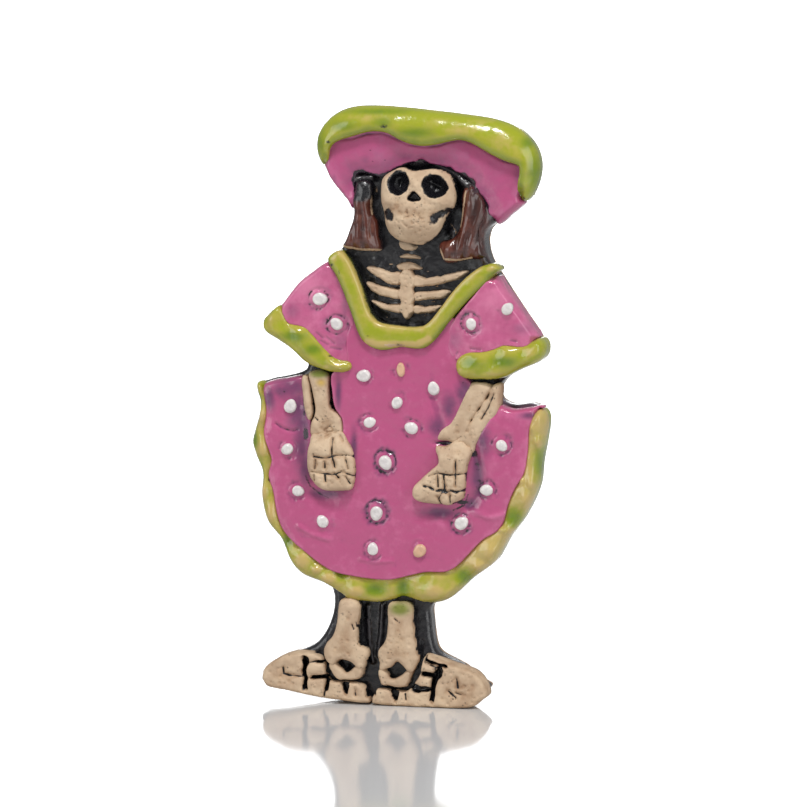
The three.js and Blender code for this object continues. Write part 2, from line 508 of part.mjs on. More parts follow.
function placeLimbs() {
  const arm = (points, neighbours, rim = RIM) => clearOf(relief(points, H.forearm, rim), neighbours);
  place('radius_left', arm(RADIUS_LEFT, [CUFF_LEFT, HAND_LEFT]), 'clay');
  place('ulna_left', arm(ULNA_LEFT, [CUFF_LEFT, RADIUS_LEFT], 0), 'clay');
  place('radius_right', arm(RADIUS_RIGHT, [CUFF_RIGHT, HAND_RIGHT]), 'clay');
  place('ulna_right', arm(ULNA_RIGHT, [CUFF_RIGHT, RADIUS_RIGHT, HAND_RIGHT]), 'clay');
  place('hand_left', hand(HAND_LEFT), 'clay');
  place('hand_right', hand(HAND_RIGHT), 'clay');
  place('shin_left', clearOf(relief(SHIN_LEFT, H.shin, RIM), [RUFFLE]), 'clay');
  place('shin_right', clearOf(relief(SHIN_RIGHT, H.shin, RIM), [RUFFLE]), 'clay');
  place('ankle_bone_left', clearOf(relief(ANKLE_LEFT, H.ankle, RIM), [SHIN_LEFT]), 'clay');
  place('ankle_bone_right', clearOf(relief(ANKLE_RIGHT, H.ankle, RIM), [SHIN_RIGHT]), 'clay');
  const aboveLeft = [ANKLE_LEFT, SHIN_LEFT];
  const aboveRight = [ANKLE_RIGHT, SHIN_RIGHT];
  place('foot_left', foot(FOOT_LEFT, FOOT_LEFT_GAPS, aboveLeft), 'clay');
  place('foot_right', foot(FOOT_RIGHT, FOOT_RIGHT_GAPS, aboveRight), 'clay');
}

place('backing_slab', aboveGround(prism(smooth(SLAB), 0, H.slab)), 'blackGlaze');
placeHead();
placeChest();
placeDress();
placeLimbs();

export default figure;
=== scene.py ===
import math

import bpy
import numpy as np
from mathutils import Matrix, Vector


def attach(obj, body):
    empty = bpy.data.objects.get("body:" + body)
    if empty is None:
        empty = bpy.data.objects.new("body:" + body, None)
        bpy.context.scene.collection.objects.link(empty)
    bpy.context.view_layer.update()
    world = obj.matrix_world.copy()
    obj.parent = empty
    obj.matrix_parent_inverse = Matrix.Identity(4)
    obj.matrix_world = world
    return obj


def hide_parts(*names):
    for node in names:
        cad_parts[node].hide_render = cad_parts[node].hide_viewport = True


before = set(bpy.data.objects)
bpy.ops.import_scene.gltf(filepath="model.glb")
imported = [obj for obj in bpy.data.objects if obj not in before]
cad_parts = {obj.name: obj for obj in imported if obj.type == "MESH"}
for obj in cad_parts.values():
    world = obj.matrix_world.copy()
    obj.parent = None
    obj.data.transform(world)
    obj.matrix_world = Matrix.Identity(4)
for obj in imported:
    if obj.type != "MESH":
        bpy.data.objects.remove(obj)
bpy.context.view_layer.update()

# Skeleton lady in glazed clay: the visible surfaces over the fixed frame.
# Shapes are worked out in millimetres, as [across, up] points with a height forward of the flat
# back. Left and right are as seen from the front.
MM = 0.001
BACK = 4.2  # the flat back lies this far behind the middle
# Marks on every mesh. The stain mark also carries painted shade, the dab mark painted shade on the
# pink and black glazes, the bare mark painted glints and the pale mark painted highlights.
MARKS = ("hollow", "rim", "dab", "pale", "bare", "stain")


# ---- Helpers on arrays of points ----
def fade(x, low, high):
    """0 below low, 1 above high, smooth between"""
    t = np.clip((x - low) / (high - low), 0.0, 1.0)
    return t * t * (3.0 - 2.0 * t)


def arch(x):
    """Quarter-round profile: 0 at the edge, 1 from x = 1 on"""
    t = 1.0 - np.clip(x, 0.0, 1.0)
    return np.sqrt(1.0 - t * t)


def chance(seed, i, j):
    """A repeatable number from -1 to 1 for each lattice point"""
    n = ((i * 73856093) ^ (j * 19349663) ^ (seed * 83492791)) & 0x7FFFFFFF
    n = ((n ^ (n >> 13)) * 1274126177) & 0x7FFFFFFF
    n = ((n ^ (n >> 15)) * 668265263) & 0x7FFFFFFF
    return ((n >> 12) & 0xFFFF) / 32767.5 - 1.0


def noise(P, size, seed):
    q = P / size
    cell = np.floor(q).astype(np.int64)
    f = q - cell
    f = f * f * (3.0 - 2.0 * f)
    i, j = cell[:, 0], cell[:, 1]
    low = chance(seed, i, j) * (1 - f[:, 0]) + chance(seed, i + 1, j) * f[:, 0]
    high = chance(seed, i, j + 1) * (1 - f[:, 0]) + chance(seed, i + 1, j + 1) * f[:, 0]
    return low * (1 - f[:, 1]) + high * f[:, 1]


def rough(P, size, seed):
    """Unevenness at three sizes, from -1 to 1"""
    total = noise(P, size, seed) + 0.5 * noise(P, size * 0.5, seed + 1)
    return (total + 0.25 * noise(P, size * 0.25, seed + 2)) / 1.75


def pits(P, size, seed, share=0.5):
    """Scattered little holes, 1 in the middle of each"""
    cell = np.floor(P / size).astype(np.int64)
    best = np.zeros(len(P))
    for di in (-1, 0, 1):
        for dj in (-1, 0, 1):
            i, j = cell[:, 0] + di, cell[:, 1] + dj
            cx = (i + 0.5 + 0.4 * chance(seed, i, j)) * size
            cz = (j + 0.5 + 0.4 * chance(seed + 5, i, j)) * size
            radius = size * (0.24 + 0.1 * chance(seed + 7, i, j))
            gone = (chance(seed + 9, i, j) + 1) / 2 > share
            near = np.exp(-((P[:, 0] - cx) ** 2 + (P[:, 1] - cz) ** 2) / radius**2)
            best = np.maximum(best, np.where(gone, 0.0, near))
    return best


def spot(P, centre, across, up=None, turn=0.0):
    """A soft oval, 1 in the middle"""
    c, s = math.cos(math.radians(turn)), math.sin(math.radians(turn))
    x, z = P[:, 0] - centre[0], P[:, 1] - centre[1]
    return np.exp(-(((x * c + z * s) / across) ** 2) - ((z * c - x * s) / (up or across)) ** 2)


def spots(P, places):
    """Soft ovals together, from (x, z, across, up)"""
    total = np.zeros(len(P))
    for x, z, across, up in places:
        total = np.maximum(total, spot(P, (x, z), across, up))
    return total


def nearest(P, A, B):
    """Distance from every point to the closest of the straight runs A-B, and the way towards it"""
    along = B - A
    length = np.maximum((along**2).sum(1), 1e-12)
    dist, aim = np.empty(len(P)), np.empty((len(P), 2))
    block = max(1, int(3e6 / len(A)))
    for k in range(0, len(P), block):
        p = P[k : k + block]
        rx, rz = p[:, 0, None] - A[:, 0], p[:, 1, None] - A[:, 1]
        t = np.clip((rx * along[:, 0] + rz * along[:, 1]) / length, 0, 1)
        gx, gz = rx - t * along[:, 0], rz - t * along[:, 1]
        square = gx * gx + gz * gz
        row, m = np.arange(len(p)), square.argmin(1)
        far = np.maximum(np.sqrt(square[row, m]), 1e-9)
        dist[k : k + block] = far
        aim[k : k + block] = -np.stack([gx[row, m], gz[row, m]], 1) / far[:, None]
    return dist, aim


def most(*marks):
    """The strongest of several marks at each point"""
    return np.maximum.reduce(marks)


def line(P, points, width):
    """A drawn line, 1 along the middle and soft at the sides"""
    points = np.array(points, float)
    return np.exp(-((nearest(P, points[:-1], points[1:])[0] / width) ** 2))


def lines(P, many, width):
    total = np.zeros(len(P))
    for points in many:
        total = np.maximum(total, line(P, points, width))
    return total


def round_off(loop):
    """Corners cut once"""
    after = np.roll(loop, -1, axis=0)
    return np.stack([0.75 * loop + 0.25 * after, 0.25 * loop + 0.75 * after], 1).reshape(-1, 2)


def runs(loops):
    return np.concatenate(loops), np.concatenate([np.roll(loop, -1, axis=0) for loop in loops])


def holds(P, A, B):
    """Whether each point lies inside the loops"""
    count = np.zeros(len(P), int)
    for (ax, az), (bx, bz) in zip(A, B):
        if az != bz:
            between = (P[:, 1] < az) != (P[:, 1] < bz)
            count += between & (P[:, 0] < ax + (bx - ax) * (P[:, 1] - az) / (bz - az))
    return count % 2 == 1


class Outline:
    """Closed loops. depth gives the distance inside the edge, below 0 outside, and the way in"""

    def __init__(self, loops):
        self.loops = [np.array(loop, float) for loop in loops]
        self.coarse = runs(self.loops)
        self.fine = runs([round_off(round_off(loop)) for loop in self.loops])

    def depth(self, P):
        dist, aim = nearest(P, *self.coarse)
        inside = holds(P, *self.coarse)
        near = dist < 0.8
        if near.any():
            dist[near], aim[near] = nearest(P[near], *self.fine)
            inside[near] = holds(P[near], *self.fine)
        sign = np.where(inside, 1.0, -1.0)
        return dist * sign, aim * -sign[:, None]


def inside_of(P, points, cuts=1):
    """Distance inside a given shape whose corners are rounded so many times"""
    loop = np.array(points, float)
    for _ in range(cuts):
        loop = round_off(loop)
    return Outline([loop]).depth(P)[0]


def chain(edges):
    """Directed edges joined end to end into loops"""
    after = dict(edges)
    loops = []
    while after:
        first, at = after.popitem()
        loop = [first]
        while at != first and at in after:
            loop.append(at)
            at = after.pop(at)
        if len(loop) > 2:
            loops.append(loop)
    return loops


def face_loops(node, back=True):
    """Outline of a frame node's flat back, or of its foremost flat faces"""
    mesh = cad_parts[node].data
    co = np.array([v.co for v in mesh.vertices], float) / MM
    level = co[:, 1].max() if back else co[:, 1].min()
    ids, place, key_of = {}, [], []
    for c in co:
        key = (round(c[0] * 500), round(c[1] * 500), round(c[2] * 500))
        if key not in ids:
            ids[key] = len(place)
            place.append(c)
        key_of.append(ids[key])
    edges = set()
    for face in mesh.polygons:
        ring = [key_of[v] for v in face.vertices]
        if all(abs(place[v][1] - level) < 0.01 for v in ring):
            edges.update(zip(ring, ring[1:] + ring[:1]))
    rim = [(a, b) for a, b in edges if (b, a) not in edges and a != b]
    return [np.array([[place[v][0], place[v][2]] for v in loop]) for loop in chain(rim)]


class Field:
    """Values on a regular grid, read between the grid points"""

    def __init__(self, low, step, values):
        self.low, self.step, self.values = np.array(low, float), step, values

    def at(self, P):
        top = np.array(self.values.shape) - 1.001
        q = np.clip((P - self.low) / self.step, 0, top)
        i, j = np.floor(q).astype(int).T
        f = q - np.floor(q)
        v = self.values
        low = v[i, j] * (1 - f[:, 0]) + v[i + 1, j] * f[:, 0]
        high = v[i, j + 1] * (1 - f[:, 0]) + v[i + 1, j + 1] * f[:, 0]
        return low * (1 - f[:, 1]) + high * f[:, 1]


def lattice(low, high, step):
    xs, zs = np.arange(low[0], high[0] + step, step), np.arange(low[1], high[1] + step, step)
    X, Z = np.meshgrid(xs, zs, indexing="ij")
    return np.stack([X.ravel(), Z.ravel()], 1), X.shape


OUTER = (
    "backing_slab", "hat_edge_roll", "hat_brim", "sleeve_left", "sleeve_right", "cuff_left",
    "cuff_right", "dress", "skirt_ruffle", "foot_left", "foot_right",
)


def whole_outline():
    """Distance inside the edge of the whole figure"""
    step, low = 0.4, (-22.0, -3.0)
    P, size = lattice(low, (22.0, 78.0), step)
    total = np.zeros(len(P))
    for node in OUTER:
        coarse = runs(face_loops(node))
        dist = nearest(P, *coarse)[0] * np.where(holds(P, *coarse), 1.0, -1.0)
        total += np.exp(np.clip(dist, -6, 6) / 0.3)
    return Field(low, step, (0.3 * np.log(total + 1e-9)).reshape(size))


WHOLE = whole_outline()


# ---- Meshes cut from a grid ----
def sheet(outline, swell, step):
    """Points, depths, ways inwards and faces of a fine grid trimmed to an outline"""
    ends = np.concatenate(outline.loops)
    P, size = lattice(ends.min(0) - 0.7, ends.max(0) + 0.7, step)

    def measure(Q):
        dist, way = outline.depth(Q)
        return dist + swell(Q), way

    d, way = measure(P)
    snapped = np.abs(d) < 0.3 * step
    P[snapped] -= d[snapped, None] * way[snapped]
    d[snapped] = 0.0
    inside = d >= 0
    number = np.full(len(P), -1)
    number[inside] = np.arange(inside.sum())
    index = np.arange(len(P)).reshape(size)
    corners = np.stack(
        [index[:-1, :-1], index[1:, :-1], index[1:, 1:], index[:-1, 1:]], -1
    ).reshape(-1, 4)
    count = inside[corners].sum(1)
    faces = number[corners[count == 4]].tolist()
    extra, made = [], {}

    def crossing(a, b):
        if not inside[a]:
            a, b = b, a
        if snapped[a]:
            return int(number[a])
        if (a, b) not in made:
            made[a, b] = int(inside.sum()) + len(extra)
            extra.append(P[a] + (P[b] - P[a]) * d[a] / (d[a] - d[b]))
        return made[a, b]

    for cell in corners[(count > 0) & (count < 4)]:
        ring = []
        for a, b in zip(cell, np.roll(cell, -1)):
            if inside[a]:
                ring.append(int(number[a]))
            if inside[a] != inside[b]:
                ring.append(crossing(a, b))
        ring = [v for k, v in enumerate(ring) if v != ring[k - 1]]
        if len(ring) >= 3 and len(set(ring)) == len(ring):
            faces.append(ring)
    points, depth, inward = P[inside], d[inside], way[inside]
    if extra:
        more = np.array(extra)
        off, aim = measure(more)
        more -= off[:, None] * aim
        points = np.concatenate([points, more])
        depth = np.concatenate([depth, np.zeros(len(more))])
        inward = np.concatenate([inward, aim])
    return points, depth, inward, faces


def open_edges(faces, count):
    a = np.concatenate([np.array(f) for f in faces])
    b = np.concatenate([np.roll(f, -1) for f in faces])
    lone = ~np.isin(a * count + b, b * count + a)
    return list(zip(a[lone].tolist(), b[lone].tolist()))


def soften(values, reach):
    """Values on a grid, blurred over so many grid steps"""
    pad = int(3 * reach) + 1
    wide = np.pad(values, pad, mode="edge")
    fx, fz = np.fft.fftfreq(wide.shape[0])[:, None], np.fft.fftfreq(wide.shape[1])[None, :]
    kernel = np.exp(-2 * (math.pi * reach) ** 2 * (fx**2 + fz**2))
    return np.real(np.fft.ifft2(np.fft.fft2(wide) * kernel))[pad:-pad, pad:-pad]


def hollows(surface, ends, reach):
    """How far the surface lies below its surroundings, above 0 in grooves"""
    step = 0.2
    low = ends.min(0) - 1.0
    P, size = lattice(low, ends.max(0) + 1.0, step)
    height = surface(P).reshape(size)
    return Field(low, step, soften(height, reach / step) - height)


def make_object(name, points, faces, marks, slot, node):
    mesh = bpy.data.meshes.new(name)
    mesh.from_pydata((points * MM).tolist(), [], faces)
    mesh.validate()
    for key in MARKS:
        layer = mesh.attributes.new(key, "FLOAT", "POINT")
        layer.data.foreach_set("value", np.asarray(marks[key], np.float32))
    mesh.polygons.foreach_set("use_smooth", np.ones(len(mesh.polygons), bool))
    mesh.materials.append(FINISH[slot])
    obj = bpy.data.objects.new(name, mesh)
    bpy.context.scene.collection.objects.link(obj)
    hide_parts(node)
    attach(obj, "root")
    return obj


JOIN_SWELL = 0.42  # how far a part grows where it runs on into its neighbour
JOIN_FLAT, JOIN_CLEAN = 0.85, 0.92  # shares of the rounding and of the stain lost there


def relief(node, slot, shape, step=0.13, rims=(0.3, 0.8), base=3.6, under=0.0,
           reach=(0.04, 0.36), rim_mark=0.5, back=None, rows=1, hollow_reach=0.6, joins=(),
           side_stain=0.0):
    """One raised part, cut to its node's outline.

    shape gives the height and the paint marks over the part. step is the grid's spacing. rims are
    the roundings and reach the growths inside the figure and at its own edge. The sides go down
    to base in so many rows and turn in by under. back gives a modelled back. joins are the
    places, as (x, z, size), where it runs on into its neighbour. side_stain darkens the sides."""
    outline = Outline(face_loops(node))

    def meeting(P):
        return spots(P, [(x, z, size, size) for x, z, size in joins])

    def swell(P):
        grown = reach[0] + (reach[1] - reach[0]) * fade(WHOLE.at(P), 0.0, 0.9)
        return grown + JOIN_SWELL * meeting(P)

    def depth(P):
        return outline.depth(P)[0] + swell(P)

    def rim(P, d):
        radius = rims[1] + (rims[0] - rims[1]) * fade(WHOLE.at(P), 0.2, 1.3)
        return radius * (arch(d / radius) - 1.0) * (1 - JOIN_FLAT * meeting(P))

    def surface(P):
        d = depth(P)
        return shape(P, d)[0] + rim(P, d)

    P, d, inward, faces = sheet(outline, swell, step)
    height, given = shape(P, d)
    height = height + rim(P, d)
    marks = {key: np.zeros(len(P)) for key in MARKS}
    marks.update(given)
    marks["stain"] = marks["stain"] * (1 - JOIN_CLEAN * meeting(P))
    marks["hollow"] = hollows(surface, np.concatenate(outline.loops), hollow_reach).at(P)
    marks["hollow"] *= 1 - 0.9 * (1 - fade(WHOLE.at(P), 0.4, 1.6))
    marks["rim"] = np.maximum(marks["rim"], 1 - fade(d, 0.0, rim_mark))
    edges = open_edges(faces, len(P))
    at_edge = sorted({a for a, _ in edges} | {b for _, b in edges})
    ring_of = {v: k for k, v in enumerate(at_edge)}
    n = len(at_edge)
    edge_points, edge_height = P[at_edge], height[at_edge]
    edge_marks = {key: marks[key][at_edge] for key in MARKS}
    dark = side_stain * fade(WHOLE.at(edge_points), 0.4, 1.2)
    dark = dark * (1 - JOIN_CLEAN * meeting(edge_points))
    edge_marks["stain"] = np.maximum(edge_marks["stain"], dark)
    layers, heights, all_faces = [P], [height], list(faces)
    walls = []
    bottom = back(edge_points, np.zeros(n)) if back else np.full(n, base + under)
    for k in range(1, rows + 1):
        walls.append((edge_points, edge_height + (bottom - edge_height) * k / rows))
    if under and not back:
        for k in range(1, 5):
            turn = math.pi / 2 * k / 4
            points = edge_points + inward[at_edge] * under * (1 - math.cos(turn))
            walls.append((points, np.full(n, base + under * (1 - math.sin(turn)))))
    previous = at_edge
    start = len(P)
    for points, level in walls:
        ring = list(range(start, start + n))
        for a, b in edges:
            i, j = ring_of[a], ring_of[b]
            all_faces.append([previous[i], ring[i], ring[j], previous[j]])
        layers.append(points)
        heights.append(level)
        previous, start = ring, start + n
    deeper = np.arange(1, len(walls) + 1) / len(walls)
    for key in MARKS:
        # a pale mark, rubbed glaze and painted highlight, stays near the front, and the other
        # marks run on down the sides
        keep = np.maximum(0.0, 1 - 2.2 * deeper) if key == "pale" else np.ones(len(walls))
        marks[key] = np.concatenate([marks[key]] + [edge_marks[key] * share for share in keep])
    if back:
        # the last ring is shared with a second copy of the grid that forms the back
        keep = np.ones(len(P), bool)
        keep[at_edge] = False
        number = np.full(len(P), -1)
        number[keep] = start + np.arange(keep.sum())
        number[at_edge] = previous
        all_faces += [[int(number[v]) for v in reversed(f)] for f in faces]
        layers.append(P[keep])
        heights.append(back(P[keep], d[keep]))
        for key in MARKS:
            marks[key] = np.concatenate([marks[key], np.zeros(keep.sum())])
    else:
        for loop in chain(edges):
            all_faces.append([previous[ring_of[v]] for v in reversed(loop)])
    flat, high = np.concatenate(layers), np.concatenate(heights)
    points = np.stack([flat[:, 0], BACK - high, flat[:, 1]], 1)
    if back:
        marks["bare"] = back_marks(flat, high, marks["bare"])
    obj = make_object(node + "_surface", points, all_faces, marks, slot, node)
    return obj, surface


# ---- Paints ----
class Wiring:
    """Short way to add and join shader nodes"""

    def __init__(self, tree):
        self.tree = tree

    def add(self, kind, inputs=(), **settings):
        made = self.tree.nodes.new(kind)
        for key, value in settings.items():
            setattr(made, key, value)
        for key, value in dict(inputs).items():
            if isinstance(value, bpy.types.NodeSocket):
                self.tree.links.new(value, made.inputs[key])
            else:
                made.inputs[key].default_value = value
        return made

    def mix(self, amount, a, b):
        made = self.add("ShaderNodeMix", {0: amount, 6: a, 7: b}, data_type="RGBA")
        return made.outputs[2]

    def sum(self, op, a, b=0.0, c=0.0, clamp=False):
        made = self.add("ShaderNodeMath", {0: a, 1: b, 2: c}, operation=op, use_clamp=clamp)
        return made.outputs[0]

    def step(self, value, low, high, bottom=0.0, top=1.0):
        made = self.add(
            "ShaderNodeMapRange",
            {"Value": value, "From Min": low, "From Max": high, "To Min": bottom, "To Max": top},
            interpolation_type="SMOOTHSTEP",
        )
        return made.outputs["Result"]

    def noise(self, where, scale, detail=3.0, harshness=0.55):
        made = self.add(
            "ShaderNodeTexNoise",
            {"Vector": where, "Scale": scale, "Detail": detail, "Roughness": harshness},
        )
        return made.outputs["Fac"]


def linear(r, g, b):
    """Everyday 0-255 colour as the shader's own"""
    parts = [c / 255 for c in (r, g, b)]
    return (
        tuple(c / 12.92 if c <= 0.04045 else ((c + 0.055) / 1.055) ** 2.4 for c in parts) + (1.0,)
    )


def new_group(name, ins, outs):
    tree = bpy.data.node_groups.new(name, "ShaderNodeTree")
    for label, kind in ins:
        tree.interface.new_socket(label, in_out="INPUT", socket_type="NodeSocket" + kind)
    for label, kind in outs:
        tree.interface.new_socket(label, in_out="OUTPUT", socket_type="NodeSocket" + kind)
    w = Wiring(tree)
    return tree, w, w.add("NodeGroupInput").outputs, w.add("NodeGroupOutput").inputs


def fired_clay_group():
    """Unglazed clay: soft mottling, dark specks and fine pits"""
    ins = [("Light", "Color"), ("Dark", "Color"), ("Speck", "Color")]
    tree, w, given, out = new_group("fired_clay", ins, [("Colour", "Color"), ("Height", "Float")])
    where = w.add("ShaderNodeTexCoord").outputs["Object"]
    broad = w.noise(where, 420.0, 4.0)
    fine = w.noise(where, 3600.0, 3.0, 0.6)
    cells = w.add("ShaderNodeTexVoronoi", {"Vector": where, "Scale": 2100.0}).outputs["Distance"]
    keep = w.step(w.noise(where, 900.0, 2.0), 0.5, 0.62)
    hole = w.sum("MULTIPLY", w.step(cells, 0.32, 0.12), keep)
    colour = w.mix(w.step(broad, 0.35, 0.68), given["Dark"], given["Light"])
    colour = w.mix(w.sum("MULTIPLY", w.step(fine, 0.52, 0.75), 0.35), colour, given["Dark"])
    colour = w.mix(w.sum("MULTIPLY", hole, 0.72), colour, given["Speck"])
    w.tree.links.new(colour, out["Colour"])
    relief_height = w.sum("SUBTRACT", w.sum("MULTIPLY", fine, 0.5), hole)
    w.tree.links.new(relief_height, out["Height"])
    return tree


def brushed_group():
    """Glaze put on by brush: thin on crests, deep in hollows, dabs of a second tone, which also
    paints shade, and a pale tone, which also paints highlights
    """
    ins = [(n, "Color") for n in ("Full", "Thin", "Deep", "Dab colour", "Pale colour")]
    ins += [(n, "Float") for n in ("Hollow", "Rim", "Dab", "Pale", "Grain")]
    outs = [("Colour", "Color"), ("Height", "Float"), ("Roughness", "Float")]
    tree, w, given, out = new_group("brushed_glaze", ins, outs)
    where = w.add("ShaderNodeTexCoord").outputs["Object"]
    broad = w.noise(where, given["Grain"], 3.0)
    streak = w.noise(where, w.sum("MULTIPLY", given["Grain"], 4.0), 4.0, 0.6)
    fine = w.noise(where, w.sum("MULTIPLY", given["Grain"], 14.0), 3.0)
    wobble = w.sum("SUBTRACT", w.sum("ADD", broad, streak), 1.0)
    crest = w.sum("MULTIPLY", given["Hollow"], -3.0)
    crest = w.sum("ADD", crest, w.sum("MULTIPLY", given["Rim"], 0.35))
    thin = w.step(w.sum("ADD", crest, w.sum("MULTIPLY", wobble, 1.3)), 0.0, 0.75)
    pool = w.sum("ADD", w.sum("MULTIPLY", given["Hollow"], 4.0), w.sum("MULTIPLY", wobble, -0.7))
    colour = w.mix(thin, given["Full"], given["Thin"])
    colour = w.mix(w.step(pool, 0.12, 0.85), colour, given["Deep"])
    dab = w.step(w.sum("ADD", given["Dab"], w.sum("MULTIPLY", wobble, 0.4)), 0.05, 0.95)
    dab = w.sum("MULTIPLY", dab, w.step(given["Dab"], 0.02, 0.2))
    colour = w.mix(dab, colour, given["Dab colour"])
    pale = w.step(w.sum("ADD", given["Pale"], w.sum("MULTIPLY", wobble, 0.4)), 0.2, 0.9)
    pale = w.sum("MULTIPLY", pale, w.step(given["Pale"], 0.02, 0.2))
    colour = w.mix(pale, colour, given["Pale colour"])
    w.tree.links.new(colour, out["Colour"])
    height = w.sum("ADD", w.sum("MULTIPLY", streak, 0.7), w.sum("MULTIPLY", fine, 0.12))
    w.tree.links.new(height, out["Height"])
    w.tree.links.new(w.step(streak, 0.3, 0.75, 0.13, 0.27), out["Roughness"])
    return tree


def wear_shade_and_glint_group():
    """Bare clay and dark stain let through a paint, with broken edges. The bare mark also brings
    painted glints and the stain mark painted shade
    """
    ins = [("Paint", "Color"), ("Clay", "Color"), ("Stain colour", "Color")]
    ins += [(n, "Float") for n in ("Bare", "Stain", "Paint roughness")]
    outs = [("Colour", "Color"), ("Roughness", "Float"), ("Covered", "Float")]
    tree, w, given, out = new_group("wear_stain_shade_and_glint", ins, outs)
    where = w.add("ShaderNodeTexCoord").outputs["Object"]
    ragged = w.noise(where, 1500.0, 4.0, 0.65)
    fine = w.noise(where, 5200.0, 2.0)
    edge = w.sum("ADD", w.sum("MULTIPLY", ragged, 0.9), w.sum("MULTIPLY", fine, 0.3))
    edge = w.sum("SUBTRACT", edge, 0.6)
    bare = w.step(w.sum("ADD", given["Bare"], edge), 0.38, 0.62)
    bare = w.sum("MULTIPLY", bare, w.step(given["Bare"], 0.03, 0.15))
    stain = w.step(w.sum("ADD", given["Stain"], edge), 0.36, 0.66)
    stain = w.sum("MULTIPLY", stain, w.step(given["Stain"], 0.03, 0.15))
    colour = w.mix(bare, given["Paint"], given["Clay"])
    colour = w.mix(stain, colour, given["Stain colour"])
    w.tree.links.new(colour, out["Colour"])
    dull = w.step(ragged, 0.3, 0.7, 0.62, 0.86)
    gloss = w.step(fine, 0.3, 0.7, 0.16, 0.34)
    level = w.add("ShaderNodeMix", {0: bare, 2: given["Paint roughness"], 3: dull}).outputs[0]
    level = w.add("ShaderNodeMix", {0: stain, 2: level, 3: gloss}).outputs[0]
    w.tree.links.new(level, out["Roughness"])
    w.tree.links.new(w.sum("SUBTRACT", 1.0, bare), out["Covered"])
    return tree


CLAY_LIGHT, CLAY_DARK = linear(203, 176, 145), linear(168, 136, 107)
CLAY_SPECK, STAIN_AND_SHADE = linear(70, 54, 44), linear(20, 19, 23)


def new_material(name):
    material = bpy.data.materials.new(name)
    material.use_nodes = True
    w = Wiring(material.node_tree)
    return material, w, material.node_tree.nodes["Principled BSDF"]


def painted_marks(w):
    """The marks that every part's mesh carries, as values"""
    return {k: w.add("ShaderNodeAttribute", attribute_name=k).outputs["Fac"] for k in MARKS}


def group_node(w, tree, inputs):
    made = w.add("ShaderNodeGroup", node_tree=tree)
    for key, value in inputs.items():
        if isinstance(value, bpy.types.NodeSocket):
            w.tree.links.new(value, made.inputs[key])
        else:
            made.inputs[key].default_value = value
    return made.outputs


def clay_node(w):
    return group_node(w, CLAY_GROUP, {"Light": CLAY_LIGHT, "Dark": CLAY_DARK, "Speck": CLAY_SPECK})


def finish_surface(w, shader, worn, height, depth):
    w.tree.links.new(worn["Colour"], shader.inputs["Base Color"])
    w.tree.links.new(worn["Roughness"], shader.inputs["Roughness"])
    bump = w.add("ShaderNodeBump", {"Strength": 1.0, "Distance": depth, "Height": height})
    w.tree.links.new(bump.outputs["Normal"], shader.inputs["Normal"])
    shader.inputs["IOR"].default_value = 1.5


def glaze(name, full, thin, deep, dab, pale, grain, stain=STAIN_AND_SHADE, bump=0.00006):
    """A painted glaze: five tones, the fineness of its brush marks, the colour of its stain and
    painted shade
    """
    material, w, shader = new_material(name)
    marks = painted_marks(w)
    brushed = group_node(w, BRUSHED_GROUP, {
        "Full": full, "Thin": thin, "Deep": deep, "Dab colour": dab, "Pale colour": pale,
        "Hollow": marks["hollow"], "Rim": marks["rim"], "Dab": marks["dab"],
        "Pale": marks["pale"], "Grain": grain,
    })
    clay = clay_node(w)
    worn = group_node(w, WEAR_SHADE_AND_GLINT_GROUP, {
        "Paint": brushed["Colour"], "Clay": clay["Colour"], "Stain colour": stain,
        "Bare": marks["bare"], "Stain": marks["stain"], "Paint roughness": brushed["Roughness"],
    })
    rough_part = w.sum("MULTIPLY", clay["Height"], w.sum("SUBTRACT", 1.0, worn["Covered"]))
    height = w.sum("ADD", brushed["Height"], w.sum("MULTIPLY", rough_part, 1.5))
    finish_surface(w, shader, worn, height, bump)
    shader.inputs["Coat Roughness"].default_value = 0.08
    w.tree.links.new(w.sum("MULTIPLY", worn["Covered"], 0.35), shader.inputs["Coat Weight"])
    return material


def clay_finish(name):
    """Bare clay with a painted highlight on its crests, dark stain in its grooves and two thin
    washes
    """
    material, w, shader = new_material(name)
    marks = painted_marks(w)
    clay = clay_node(w)
    # painted highlight: the crests are lightened towards a paler clay colour
    crest = w.step(marks["hollow"], 0.02, -0.12)
    lit = w.mix(w.sum("MULTIPLY", crest, 0.35), clay["Colour"], linear(220, 198, 170))
    green = w.mix(w.step(marks["dab"], 0.1, 0.8), lit, linear(120, 126, 52))
    tan = w.mix(w.step(marks["pale"], 0.1, 0.9), green, linear(194, 160, 72))
    groove = w.step(marks["hollow"], 0.05, 0.3)
    stain = w.sum("ADD", marks["stain"], w.sum("MULTIPLY", groove, 0.3), clamp=True)
    worn = group_node(w, WEAR_SHADE_AND_GLINT_GROUP, {
        "Paint": tan, "Clay": clay["Colour"], "Stain colour": STAIN_AND_SHADE,
        "Bare": marks["bare"], "Stain": stain, "Paint roughness": 0.78,
    })
    dry = w.sum("SUBTRACT", 1.0, w.sum("MULTIPLY", stain, 0.85))
    finish_surface(w, shader, worn, w.sum("MULTIPLY", clay["Height"], dry), 0.00007)
    return material


